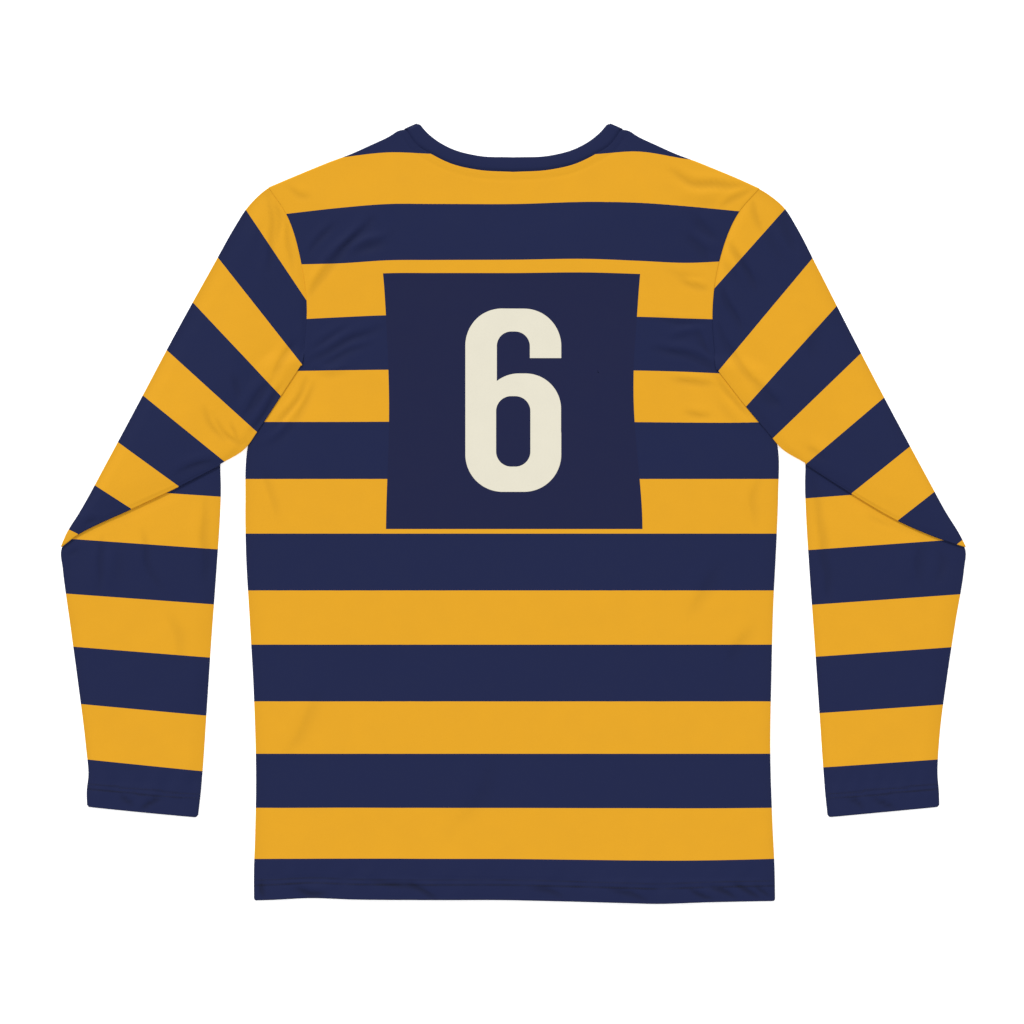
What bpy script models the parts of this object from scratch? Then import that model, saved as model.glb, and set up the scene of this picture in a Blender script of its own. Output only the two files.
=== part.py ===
"""A long-sleeved sports jersey laid flat on a surface, with its back uppermost.

Five cloth walls: the front panel flat on the surface, the back panel over it, a neck binding that
runs round the neck opening, and two sleeves. Each sleeve is a flattened tube whose underarm lies
over the body's side and whose elbow is laid in a pleat, so that the forearm points straight down.
+X is towards the wearer's right, +Y towards the neck and +Z up. The origin is under the middle of
the jersey, on the surface.
"""

import bisect
import math

import bmesh
import bpy
from mathutils import Vector

# Sizes and places are in millimetres, and the meshes are made in metres
METRE = 0.001

# The place of the origin from the centre line and the middle of the length
CENTRE = (-0.165, -0.065)

# Cloth walls and the gap that is left at every seam
WALL = 1.2
GAP = 0.3
SEAM_STEP = 0.4
BINDING_WALL = 1.0
BINDING_CROWN = 0.35
HEM_DEPTH = 19.0
HEM_EASE = 6.0
HEM_EXTRA = 0.4

# Heights of the body's layers above the surface
FRONT_TOP = WALL
BACK_UNDER = WALL + GAP
BACK_TOP = BACK_UNDER + WALL
BACK_LOFT = 1.3
LOFT_WIDTH = 70.0

# Sleeve tube: its wall, and half of its flattened thickness
SLEEVE_WALL = 1.1
TUBE_HALF = 1.5
SLEEVE_CROWN = 0.7
SLEEVE_WIDTH = 170.0
TUBE_MARGIN = TUBE_HALF / SLEEVE_WIDTH
CUFF_DEPTH = 21.0
CUFF_EXTRA = 0.3

# Elbow pleat: the middle radius of its two turns, which sets its layers apart
TURN_RADIUS = TUBE_HALF + GAP / 2
TURN_REACH = TURN_RADIUS + TUBE_HALF
LAYER_STEP = 2 * TURN_RADIUS

# The sleeve climbs over the body's corner and over the elbow pleat, then eases down
OVERLAP_GAP = 0.4
OVER_BODY = BACK_TOP + OVERLAP_GAP
OVER_PLEAT = 2 * LAYER_STEP
CLIMB_FLAT = 18.0
CLIMB_EASE = 26.0
PLEAT_FLAT = 15.0
PLEAT_EASE = 42.0
BESIDE_FLAT = 12.0

# Outline of the body from the shoulder tip down, for each side
ARMHOLE = {
    "left": [(235.2, 313.0), (218.0, 287.1), (203.6, 239.9), (198.4, 199.0), (200.0, 168.0), (204.0, 141.6)],
    "right": [(236.1, 312.0), (216.8, 289.9), (197.7, 242.7), (191.2, 199.0), (191.8, 168.0), (195.4, 137.5)],
}
BODY_SIDE = {
    "left": [(246.0, 101.0), (255.0, 64.3), (257.3, 10.0), (256.8, -35.5), (253.0, -104.6), (249.2, -173.8),
             (247.1, -260.2), (248.1, -312.0), (249.2, -346.6), (249.0, -371.5)],
    "right": [(244.5, 101.0), (253.8, 62.0), (254.0, 20.0), (252.2, -30.0), (249.3, -87.4), (247.5, -156.5),
              (246.4, -225.6), (248.4, -294.7), (250.7, -346.6), (251.0, -371.5)],
}
SHOULDER = [(214.0, 322.0), (195.0, 329.9), (175.7, 337.7), (156.5, 344.8), (137.3, 353.4), (118.0, 362.4),
            (109.5, 366.2), (103.5, 367.2)]

# Lower edge of the body, across and up
HEM_EDGE = [(-249.0, -371.4), (-233.3, -370.9), (-195.0, -369.1), (-156.5, -370.3), (-98.9, -370.9),
            (-2.9, -371.1), (54.7, -372.4), (112.3, -374.0), (131.5, -374.6), (189.1, -373.0),
            (251.0, -371.9)]
HEM_CORNER = -371.5
PANEL_HEIGHT = 690.0

# Neck opening from the shoulder to the centre line: seam and free edge, at the back and the front
NECK_SEAM_BACK = [(103.5, 367.2), (91.7, 352.8), (80.0, 345.6), (60.5, 336.0), (34.0, 329.8), (0.0, 327.8)]
NECK_FREE_BACK = [(90.4, 373.6), (83.8, 366.4), (74.0, 358.2), (60.5, 350.6), (34.0, 343.4), (0.0, 341.9)]
NECK_SEAM_FRONT = [(103.5, 367.2), (100.5, 345.0), (90.5, 315.0), (68.5, 288.0), (36.0, 271.5), (0.0, 267.0)]
NECK_FREE_FRONT = [(90.4, 373.6), (86.8, 349.0), (77.5, 322.0), (58.5, 299.0), (31.0, 285.2), (0.0, 281.0)]

# Sleeve outlines, for each side: shoulder to elbow, underarm, elbow crease and forearm
SLEEVE_OUTER = {
    "left": [(235.6, 313.0), (239.4, 310.0), (256.1, 292.8), (267.2, 275.5), (286.5, 241.0), (324.8, 171.8),
             (361.4, 102.7), (389.1, 50.9), (417.7, -1.0), (428.5, -18.2), (433.5, -32.4)],
    "right": [(236.5, 312.0), (239.5, 310.0), (260.4, 292.8), (271.4, 275.5), (289.3, 241.0), (324.4, 171.8),
              (360.3, 102.7), (397.3, 33.6), (416.3, -1.0), (427.1, -18.2), (433.2, -32.4)],
}
UNDERARM = {
    "left": [(204.3, 141.6), (223.2, 112.8), (246.2, 78.2), (257.5, 62.4), (281.0, 45.8)],
    "right": [(195.7, 137.5), (223.2, 102.5), (246.0, 75.6), (257.0, 62.6), (279.6, 47.4)],
}
ELBOW_CREASE = {
    "left": [(433.9, -32.4), (414.9, -21.3), (365.4, 3.6), (319.9, 25.7), (281.0, 45.8)],
    "right": [(433.6, -32.4), (412.8, -25.7), (371.5, -8.5), (323.2, 19.4), (279.6, 47.4)],
}
HIDDEN_TURN = {"left": [(422.0, -13.0), (282.5, 101.0)], "right": [(421.0, -13.5), (281.5, 101.0)]}
FOREARM_OUTER = {
    "left": [(434.4, -36.0), (432.8, -52.8), (425.8, -104.6), (418.7, -156.5), (410.1, -225.6),
             (407.9, -250.0), (409.3, -268.0), (408.8, -281.6)],
    "right": [(434.0, -36.0), (432.6, -52.8), (424.1, -104.6), (416.1, -156.5), (408.6, -216.0),
              (406.9, -250.0), (407.9, -268.0), (408.3, -281.6)],
}
FOREARM_INNER = {
    "left": [(281.4, 46.0), (280.9, 20.0), (281.7, -1.0), (285.1, -52.8), (290.2, -121.9), (294.8, -191.0),
             (299.8, -260.2), (303.4, -291.8)],
    "right": [(280.2, 46.0), (279.8, 30.0), (280.8, -1.0), (284.0, -52.8), (289.0, -121.9), (293.8, -191.0),
              (298.8, -260.2), (302.0, -291.6)],
}
CUFF_EDGE = {
    "left": [(408.8, -281.6), (356.0, -286.9), (303.4, -291.8)],
    "right": [(408.3, -281.6), (356.0, -286.5), (302.0, -291.6)],
}
SIGN = {"left": -1.0, "right": 1.0}

# Largest folds of the back panel, each a soft ridge between two points: across, up, rise, half width
BACK_FOLDS = [
    ((-196.0, 214.0), (-136.0, 283.0), 1.8, 13.0),
    ((-160.0, 247.0), (-112.0, 277.0), 1.2, 14.0),
    ((-200.0, 150.0), (-134.0, 180.0), 1.5, 14.0),
    ((-226.0, 70.0), (-190.0, 128.0), 1.6, 12.0),
    ((150.0, 326.0), (226.0, 306.0), 1.2, 12.0),
    ((193.0, 238.0), (150.0, 292.0), 1.6, 13.0),
    ((142.0, 160.0), (192.0, 141.0), 1.8, 13.0),
    ((156.0, 116.0), (204.0, 86.0), 1.5, 14.0),
    ((168.0, -100.0), (200.0, -48.0), 1.1, 16.0),
    ((203.0, -146.0), (228.0, -108.0), 1.0, 14.0),
]
FOLD_START = 2.0
FOLD_FULL = 22.0
FOLD_ENDS = 0.4
FOLD_RIM = 0.2

# Soft waves along the hem
HALF_HEM = 250.0
HEM_WAVES = 6
HEM_WAVE_RISE = 0.9
HEM_WAVE_REACH = 60.0
HEM_WAVE_SIDES = 25.0
HEM_WAVE_SKEW = 0.8
HEM_WAVE_DRIFT = 60.0

# Largest folds of each sleeve's upper wall, in the same form, with out in place of across
SLEEVE_FOLDS = {
    "left": [
        ((262.0, 285.0), (292.0, 215.0), 1.3, 13.0),
        ((236.0, 175.0), (262.0, 102.0), 1.6, 12.0),
        ((330.0, 92.0), (286.0, 66.0), 1.4, 13.0),
        ((392.0, 18.0), (330.0, 40.0), 1.2, 14.0),
        ((303.0, 6.0), (303.0, -70.0), 1.1, 12.0),
        ((352.0, -36.0), (352.0, -84.0), 1.0, 13.0),
        ((392.0, -30.0), (392.0, -84.0), 1.1, 12.0),
    ],
    "right": [
        ((246.0, 270.0), (222.0, 225.0), 1.5, 13.0),
        ((208.0, 196.0), (240.0, 130.0), 1.6, 12.0),
        ((262.0, 268.0), (290.0, 224.0), 1.3, 13.0),
        ((300.0, 92.0), (270.0, 112.0), 1.3, 14.0),
        ((345.0, 62.0), (380.0, 22.0), 1.2, 14.0),
        ((296.0, 22.0), (296.0, -84.0), 1.2, 12.0),
        ((404.0, -42.0), (398.0, -110.0), 1.0, 14.0),
    ],
}

# Mesh steps
SHOULDER_STEPS = 8
NECK_STEPS = 18
LOWER_ROWS = 12
UPPER_ROWS = 21
CHEST_SHARE = 0.54
TUBE_STEPS = 8
END_STEPS = 3
UPPER_ARM_RINGS = 19
TURN_STEPS = 5
PLEAT_RINGS = 3
FOREARM_RINGS = 14
BINDING_STEPS = 3
BINDING_TURN_STEPS = 4
END_WEIGHT = 0.6
SLOPE_STEP = 1.0
TINY = 1e-9

# Shares along a sleeve: where its rings stand square, where its folds begin, and the cuff's step
SEAM_SQUARE = 0.12
PAST_PLEAT = (0.3, 0.45)
CUFF_STEP = 0.01

# The binding stands a little further from the back at the shoulders, and is crowned where it faces up
SHOULDER_GAP = 3 * GAP
SHOULDER_REACH = 2.0
FACES_UP = 0.99

# Looks of the plain solids
NAVY = (0.019, 0.025, 0.074, 1.0)
GOLD = (0.815, 0.397, 0.025, 1.0)
CLOTH_ROUGHNESS = 0.85

UP = Vector((0.0, 0.0, 1.0))


def ease(low, high, value):
    """A smooth step from 0 at low to 1 at high."""
    share = min(max((value - low) / (high - low), 0.0), 1.0)
    return share * share * (3.0 - 2.0 * share)


class Edge:
    """A smooth line through a few points, read by a share of its length or by its height."""

    STEPS = 12

    def __init__(self, points):
        knots = [Vector(point) for point in points]
        chords = [(b - a).length for a, b in zip(knots, knots[1:])]
        slopes = self.knot_slopes(knots, chords)
        self.points = [knots[0]]
        for i, chord in enumerate(chords):
            for step in range(1, self.STEPS + 1):
                share = step / self.STEPS
                self.points.append(self.between(knots, slopes, chord, i, share))
        self.lengths = [0.0]
        for a, b in zip(self.points, self.points[1:]):
            self.lengths.append(self.lengths[-1] + (b - a).length)

    @staticmethod
    def knot_slopes(knots, chords):
        """The line's direction at each knot, from the chords on its two sides."""
        runs = [(b - a) / chord for a, b, chord in zip(knots, knots[1:], chords)]
        slopes = [runs[0]]
        for before, after, chord_before, chord_after in zip(runs, runs[1:], chords, chords[1:]):
            slopes.append((before * chord_after + after * chord_before) / (chord_before + chord_after))
        slopes.append(runs[-1])
        return slopes

    @staticmethod
    def between(knots, slopes, chord, i, share):
        """A point of the cubic between two knots."""
        square, cube = share**2, share**3
        start = knots[i] * (2 * cube - 3 * square + 1) + slopes[i] * chord * (cube - 2 * square + share)
        end = knots[i + 1] * (3 * square - 2 * cube) + slopes[i + 1] * chord * (cube - square)
        return start + end

    def at(self, share):
        """The point at a share of the length."""
        goal = min(max(share, 0.0), 1.0) * self.lengths[-1]
        i = min(max(bisect.bisect_right(self.lengths, goal) - 1, 0), len(self.points) - 2)
        part = (goal - self.lengths[i]) / (self.lengths[i + 1] - self.lengths[i])
        return self.points[i].lerp(self.points[i + 1], part)

    def out_at(self, up):
        """How far out the line is at a height, on a line that runs down."""
        for a, b in zip(self.points, self.points[1:]):
            if b.y <= up <= a.y:
                return b.x + (a.x - b.x) * (up - b.y) / max(a.y - b.y, TINY)
        return self.points[0].x if up > self.points[0].y else self.points[-1].x

    def up_at(self, across):
        """How high the line is at a place across, on a line that runs from left to right."""
        for a, b in zip(self.points, self.points[1:]):
            if a.x <= across <= b.x:
                return a.y + (b.y - a.y) * (across - a.x) / max(b.x - a.x, TINY)
        return self.points[0].y if across < self.points[0].x else self.points[-1].y


def sheet_point(outer, inner, first, last, across, along):
    """A point of the smooth sheet that fills four edges."""
    sides = outer.at(along).lerp(inner.at(along), across)
    ends = first.at(across).lerp(last.at(across), along)
    start = first.at(0.0).lerp(first.at(1.0), across)
    finish = last.at(0.0).lerp(last.at(1.0), across)
    return sides + ends - start.lerp(finish, along)


def distance_to_line(point, start, end):
    """The distance from a point to a stretch, and its share along the stretch."""
    run = end - start
    share = min(max((point - start).dot(run) / run.length_squared, 0.0), 1.0)
    return (point - start.lerp(end, share)).length, share


def folds_at(folds, point):
    """The height that a table of soft ridges adds at a point."""
    height = 0.0
    for start, end, rise, half_width in folds:
        distance, share = distance_to_line(point, Vector(start), Vector(end))
        fade = FOLD_ENDS + (1.0 - FOLD_ENDS) * math.sin(math.pi * share)
        height += rise * fade * math.exp(-((distance / half_width) ** 2))
    return height


def cloth_wall(name, outer, inner, looped, colour):
    """A closed wall between two skins, given as equal rows of points, open or looped."""
    mesh_data = bmesh.new()
    skins = []
    for skin in (outer, inner):
        skins.append([[mesh_data.verts.new(in_metres(point)) for point in row] for row in skin])
    for corners in wall_faces(skins, looped):
        mesh_data.faces.new(corners)
    bmesh.ops.recalc_face_normals(mesh_data, faces=mesh_data.faces)
    mesh = bpy.data.meshes.new(name)
    mesh_data.to_mesh(mesh)
    mesh_data.free()
    mesh.materials.append(cloth_material(name, colour))
    piece = bpy.data.objects.new(name, mesh)
    jersey.objects.link(piece)
    return piece


def wall_faces(skins, looped):
    """The corners of every face of a closed wall: two skins, two end rims and, if open, two sides."""
    rows, count = len(skins[0]), len(skins[0][0])
    steps = [(i, (i + 1) % count) for i in range(count if looped else count - 1)]
    faces = []
    for skin in skins:
        for a, b in zip(skin, skin[1:]):
            faces += [(a[i], a[j], b[j], b[i]) for i, j in steps]
    for row in (0, rows - 1):
        upper, lower = skins[0][row], skins[1][row]
        faces += [(upper[i], upper[j], lower[j], lower[i]) for i, j in steps]
    if not looped:
        for end in (0, count - 1):
            upper, lower = [row[end] for row in skins[0]], [row[end] for row in skins[1]]
            faces += [(upper[i], upper[i + 1], lower[i + 1], lower[i]) for i in range(rows - 1)]
    return faces


def in_metres(point):
    """A point in the part's own frame."""
    return ((point[0] - CENTRE[0]) * METRE, (point[1] - CENTRE[1]) * METRE, point[2] * METRE)


def cloth_material(name, colour):
    """A plain material for one piece."""
    material = bpy.data.materials.new(name + "_cloth")
    material.use_nodes = True
    shader = material.node_tree.nodes["Principled BSDF"]
    shader.inputs["Base Color"].default_value = colour
    shader.inputs["Roughness"].default_value = CLOTH_ROUGHNESS
    return material


def panel_grid(neck_seam):
    """Columns of places on a body panel, from the hem to the shoulders and the neck seam."""
    sides = {side: Edge(ARMHOLE[side] + BODY_SIDE[side]) for side in SIGN}
    hem = Edge(HEM_EDGE)
    slopes = {side: Edge(ARMHOLE[side][:1] + SHOULDER) for side in SIGN}
    half_neck = Edge(neck_seam)
    top = [flip(slopes["left"].at(i / SHOULDER_STEPS)) for i in range(SHOULDER_STEPS)]
    half = NECK_STEPS // 2
    top += [flip(half_neck.at(i / half)) for i in range(half)]
    top += [half_neck.at(1.0 - i / half) for i in range(half)]
    top += [slopes["right"].at(1.0 - i / SHOULDER_STEPS) for i in range(SHOULDER_STEPS + 1)]
    rows = [0.0, HEM_DEPTH / PANEL_HEIGHT]
    rows += [rows[-1] + (CHEST_SHARE - rows[-1]) * (i + 1) / LOWER_ROWS for i in range(LOWER_ROWS)]
    rows += [CHEST_SHARE + (1.0 - CHEST_SHARE) * (i + 1) / UPPER_ROWS for i in range(UPPER_ROWS)]
    columns = []
    for end in top:
        share = (end.x - top[0].x) / (top[-1].x - top[0].x)
        columns.append([panel_place(sides, hem, end, share, row) for row in rows])
    return columns


def flip(point):
    """The same place on the left half."""
    return Vector((-point.x, point.y))


def panel_place(sides, hem, end, share, row):
    """One place of a panel, at a share across and a share of the way up to its upper end."""
    def across(up):
        left = -sides["left"].out_at(up)
        return left + (sides["right"].out_at(up) - left) * share

    foot = hem.up_at(across(HEM_CORNER))
    up = foot + (end.y - foot) * row
    return Vector((across(up) + (end.x - across(end.y)) * row, up))


def hem_step(place):
    """1 in the turned-up hem and 0 above it."""
    return 1.0 - ease(HEM_DEPTH - HEM_EASE, HEM_DEPTH + HEM_EASE, place.y - HEM_CORNER)


def edge_distance(place, edges):
    """How far a place is from the nearest of some dense outlines."""
    return min((place - point).length for edge in edges for point in edge)


def panel_outlines():
    """The back panel's seams and sides, and the sleeves' underarms that lie on it."""
    seams, underarms = [], []
    for side, sign in SIGN.items():
        for table in (ARMHOLE[side][:1] + SHOULDER, ARMHOLE[side], BODY_SIDE[side][1:], NECK_SEAM_BACK):
            seams.append([Vector((sign * point.x, point.y)) for point in Edge(table).points])
        underarms.append([Vector((sign * point.x, point.y)) for point in Edge(UNDERARM[side][:4]).points])
    return seams, underarms


def under_sleeve(place):
    """Whether a place of the back panel lies under a sleeve."""
    side = "left" if place.x < 0 else "right"
    for start, end in zip(UNDERARM[side][:3], UNDERARM[side][1:4]):
        if end[1] <= place.y <= start[1]:
            share = (start[1] - place.y) / (start[1] - end[1])
            return abs(place.x) > start[0] + (end[0] - start[0]) * share
    return False


def back_rise(place, outlines):
    """How far the back panel lofts above its lowest lay, with its folds and the hem's waves."""
    if under_sleeve(place):
        return 0.0
    seams, underarms = outlines
    inside = edge_distance(place, seams)
    loft = BACK_LOFT * ease(0.0, LOFT_WIDTH, inside)
    folds = folds_at(BACK_FOLDS, place) * ease(FOLD_START, FOLD_FULL, inside)
    clear = ease(CLIMB_FLAT, CLIMB_FLAT + CLIMB_EASE, edge_distance(place, underarms))
    return (loft + folds) * clear + hem_wave(place)


def hem_wave(place):
    """How far the hem's soft waves rise at a place."""
    turns = HEM_WAVES * math.pi * (place.x + HALF_HEM) / HALF_HEM
    swing = math.sin(turns + HEM_WAVE_SKEW * math.sin(place.x / HEM_WAVE_DRIFT))
    low = 1.0 - ease(0.0, HEM_WAVE_REACH, place.y - HEM_CORNER)
    inside = ease(0.0, HEM_WAVE_SIDES, HALF_HEM - abs(place.x))
    return HEM_WAVE_RISE * low * (0.5 + 0.5 * swing) * inside


def make_front():
    """The front panel, flat on the surface."""
    columns = panel_grid(NECK_SEAM_FRONT)
    outer = [[(p.x, p.y, FRONT_TOP + HEM_EXTRA * hem_step(p)) for p in column] for column in columns]
    inner = [[(p.x, p.y, 0.0) for p in column] for column in columns]
    return cloth_wall("front", outer, inner, False, NAVY)


def make_back():
    """The back panel, which lies over the front one and lofts a little off it."""
    outlines = panel_outlines()
    outer, inner = [], []
    for column in panel_grid(NECK_SEAM_BACK):
        extras = [HEM_EXTRA * hem_step(place) for place in column]
        lows = [back_rise(place, outlines) + extra for place, extra in zip(column, extras)]
        inner.append([(p.x, p.y, BACK_UNDER + low) for p, low in zip(column, lows)])
        outer.append([(p.x, p.y, BACK_TOP + low + extra) for p, low, extra in zip(column, lows, extras)])
    return cloth_wall("back", outer, inner, False, GOLD)


def lift_over_body(side, place):
    """How high the sleeve is carried where the body's corner lies under it."""
    corner = [Vector(ARMHOLE[side][-1])] + [Vector(point) for point in BODY_SIDE[side][:3]]
    if place.y < corner[0].y and place.x < Edge(ARMHOLE[side][-1:] + BODY_SIDE[side]).out_at(place.y):
        return OVER_BODY
    distance = min(distance_to_line(place, a, b)[0] for a, b in zip(corner, corner[1:]))
    return OVER_BODY * (1.0 - ease(CLIMB_FLAT, CLIMB_FLAT + CLIMB_EASE, distance))


def lift_over_pleat(side, place):
    """How high the upper arm is carried where the elbow pleat lies under it."""
    outer, inner = (Vector(point) for point in HIDDEN_TURN[side])
    behind = (place - inner).dot(backward(outer, inner))
    beside = inner.x - place.x
    over = 1.0 - ease(PLEAT_FLAT, PLEAT_FLAT + PLEAT_EASE, behind)
    return OVER_PLEAT * over * (1.0 - ease(BESIDE_FLAT, BESIDE_FLAT + CLIMB_EASE, beside))


def backward(outer, inner):
    """The direction across a crease that points up the arm."""
    run = (inner - outer).normalized()
    across = Vector((run.y, -run.x))
    return across if across.y > 0 else -across


def upper_arm_lift(side, place):
    """Height of what the upper arm lies on, the two climbs eased into one."""
    body, pleat = lift_over_body(side, place), lift_over_pleat(side, place)
    return (body**4 + pleat**4) ** 0.25


def surface_normal(height, side, place):
    """The upward direction square to a height field."""
    right, above = Vector((SLOPE_STEP, 0.0)), Vector((0.0, SLOPE_STEP))
    slope_x = height(side, place + right) - height(side, place - right)
    slope_y = height(side, place + above) - height(side, place - above)
    return Vector((-slope_x / (2 * SLOPE_STEP), -slope_y / (2 * SLOPE_STEP), 1.0)).normalized()


def tube_ring(middles, normals, bulges, half, wall):
    """The outer and the inner skin of one flattened ring, which are round at its two ends."""
    skins = []
    for reach in (half, half - wall):
        upper = [m + n * (reach + bulge) for m, n, bulge in zip(middles, normals, bulges)]
        lower = [m - n * reach for m, n in zip(middles, normals)]
        inner_end = ring_end(middles[-1], middles[-2], normals[-1], reach)
        outer_end = ring_end(middles[0], middles[1], -normals[0], reach)
        skins.append(upper + inner_end + lower[::-1] + outer_end)
    return skins


def ring_end(end, neighbour, normal, reach):
    """Points round the end of a flattened ring, from its normal's side to the other."""
    out = end - neighbour
    out = (out - normal * out.dot(normal)).normalized()
    points = []
    for step in range(1, END_STEPS):
        angle = math.pi * step / END_STEPS
        points.append(end + (normal * math.cos(angle) + out * math.sin(angle)) * reach)
    return points


def turn_rings(crease, forward, top, faces_out, shares):
    """Middle points and normals of the rings round one turn of the pleat, from its top down."""
    forward = forward.to_3d()
    rings = []
    for step in range(1, TURN_STEPS):
        angle = math.pi * step / TURN_STEPS
        spoke = forward * math.sin(angle) + UP * math.cos(angle)
        centres = [crease.at(share).to_3d() + UP * (top - TURN_RADIUS) for share in shares]
        middles = [centre + spoke * TURN_RADIUS for centre in centres]
        rings.append((middles, [spoke if faces_out else -spoke] * len(shares)))
    return rings


def moved(points, by):
    """A table of places moved by one step."""
    return [Vector(point) + by for point in points]


def end_weighted(steps):
    """Shares from 0 to 1 that lie closer together near both ends."""
    even = [i / steps for i in range(steps + 1)]
    return [share + END_WEIGHT * (0.5 - 0.5 * math.cos(math.pi * share) - share) for share in even]


def sleeve_rings(side):
    """Every ring of a sleeve from the armhole to the cuff: middles, normals, bulges, half thickness."""
    shares = [TUBE_MARGIN + (1.0 - 2.0 * TUBE_MARGIN) * step for step in end_weighted(TUBE_STEPS)]
    crease, hidden = ELBOW_CREASE[side], HIDDEN_TURN[side]
    forward = -backward(Vector(crease[0]), Vector(crease[-1]))
    back = backward(Vector(hidden[0]), Vector(hidden[1]))
    upper_turn = Edge(moved(crease, -forward * TURN_REACH))
    lower_turn = Edge(moved(hidden, -back * TURN_REACH))
    top = TUBE_HALF + OVER_PLEAT
    rings = upper_arm_rings(side, upper_turn, shares)
    flat = [0.0] * len(shares)
    low = top - LAYER_STEP
    rings += [(m, n, flat, TUBE_HALF) for m, n in turn_rings(upper_turn, forward, top, True, shares)]
    rings += pleat_rings(upper_turn, lower_turn, low, shares)
    rings += [(m, n, flat, TUBE_HALF) for m, n in turn_rings(lower_turn, back, low, False, shares)]
    rings += forearm_rings(side, lower_turn, shares)
    return rings


def upper_arm_rings(side, upper_turn, shares):
    """Rings from the armhole seam to the elbow crease."""
    outer = Edge(SLEEVE_OUTER[side][:-1] + [upper_turn.at(0.0)])
    inner = Edge(UNDERARM[side][:-1] + [upper_turn.at(1.0)])
    seam = Edge(moved(ARMHOLE[side], Vector((SEAM_STEP, 0.0))))
    rings = []
    for row in range(UPPER_ARM_RINGS + 1):
        along = row / UPPER_ARM_RINGS
        places = [sheet_point(outer, inner, seam, upper_turn, share, along) for share in shares]
        lifts = [upper_arm_lift(side, place) + TUBE_HALF for place in places]
        middles = [place.to_3d() + UP * lift for place, lift in zip(places, lifts)]
        square = ease(0.0, SEAM_SQUARE, along)
        slopes = [surface_normal(upper_arm_lift, side, place) for place in places]
        normals = [UP.lerp(slope, square).normalized() for slope in slopes]
        rings.append((middles, normals, bulges(side, places, shares, 1.0), TUBE_HALF))
    return rings


def pleat_rings(upper_turn, lower_turn, height, shares):
    """Rings of the pleat's hidden middle layer, which faces down."""
    rings = []
    for row in range(PLEAT_RINGS + 1):
        along = row / PLEAT_RINGS
        places = [upper_turn.at(share).lerp(lower_turn.at(share), along) for share in shares]
        middles = [place.to_3d() + UP * height for place in places]
        rings.append((middles, [-UP] * len(shares), [0.0] * len(shares), TUBE_HALF))
    return rings


def forearm_rings(side, lower_turn, shares):
    """Rings from the pleat's lower turn to the cuff, flat on the surface."""
    outer = Edge([lower_turn.at(0.0)] + FOREARM_OUTER[side])
    inner = Edge([lower_turn.at(1.0)] + FOREARM_INNER[side])
    cuff = Edge(CUFF_EDGE[side])
    length = outer.lengths[-1]
    cuff_share = 1.0 - CUFF_DEPTH / length
    alongs = [cuff_share * row / FOREARM_RINGS for row in range(FOREARM_RINGS + 1)]
    alongs += [cuff_share + CUFF_STEP, 1.0]
    rings = []
    for along in alongs:
        places = [sheet_point(outer, inner, lower_turn, cuff, share, along) for share in shares]
        half = TUBE_HALF + CUFF_EXTRA * ease(cuff_share, cuff_share + CUFF_STEP, along)
        middles = [place.to_3d() + UP * half for place in places]
        clear = ease(*PAST_PLEAT, along)
        rings.append((middles, [UP] * len(shares), bulges(side, places, shares, clear), half))
    return rings


def bulges(side, places, shares, clear):
    """How far the upper wall of a ring rises off the lower one, with the sleeve's folds."""
    heights = []
    for place, share in zip(places, shares):
        middle = math.sin(math.pi * share)
        folds = folds_at(SLEEVE_FOLDS[side], place) * ease(0.0, FOLD_RIM, min(share, 1.0 - share))
        heights.append(clear * (SLEEVE_CROWN * middle + folds))
    heights[0] = heights[-1] = 0.0
    return heights


def make_sleeve(side):
    """One sleeve, a flattened tube with an elbow pleat."""
    outer, inner = [], []
    for middles, normals, heights, half in sleeve_rings(side):
        wall = SLEEVE_WALL + half - TUBE_HALF
        for rows, skin in zip((outer, inner), tube_ring(middles, normals, heights, half, wall)):
            rows.append([(SIGN[side] * point.x, point.y, point.z) for point in skin])
    return cloth_wall("sleeve_" + side, outer, inner, True, NAVY)


def binding_sections():
    """Sections round the neck binding: free edge, seam edge and the direction that faces out."""
    low = BINDING_WALL / 2
    radius = BACK_UNDER / 2
    high = low + 2 * radius
    reach = radius + BINDING_WALL / 2
    fold_run = (Vector(NECK_FREE_BACK[0]) - Vector(NECK_SEAM_BACK[0])).normalized()
    outward = Vector((-fold_run.y, fold_run.x))
    sections = []
    for free_table, seam_table, height, side in (
        (NECK_FREE_BACK, NECK_SEAM_BACK, high, 1.0),
        (NECK_FREE_FRONT, NECK_SEAM_FRONT, low, -1.0),
    ):
        run = binding_run(free_table, seam_table, outward * reach)
        if side < 0:
            run = run[::-1]
        sections += [(a.to_3d() + UP * height, b.to_3d() + UP * height, UP * side) for a, b in run]
        free, seam = run[-1]
        lean = Vector((outward.x if free.x > 0 else -outward.x, outward.y, 0.0))
        for step in range(1, BINDING_TURN_STEPS):
            angle = math.pi * step / BINDING_TURN_STEPS
            spoke = UP * side * math.cos(angle) + lean * math.sin(angle)
            centre = UP * (low + radius) + spoke * radius
            sections.append((free.to_3d() + centre, seam.to_3d() + centre, spoke))
    return sections


def binding_run(free_table, seam_table, inset):
    """Pairs of places on the binding's two edges, from the left shoulder to the right one."""
    free, seam = Edge(free_table), Edge(seam_table)
    half = [(free.at(2 * i / NECK_STEPS), seam.at(2 * i / NECK_STEPS)) for i in range(NECK_STEPS // 2 + 1)]
    half[0] = (half[0][0] - inset, half[0][1] - inset)
    left = [(flip(a), flip(b)) for a, b in half]
    return left + half[-2::-1]


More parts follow.
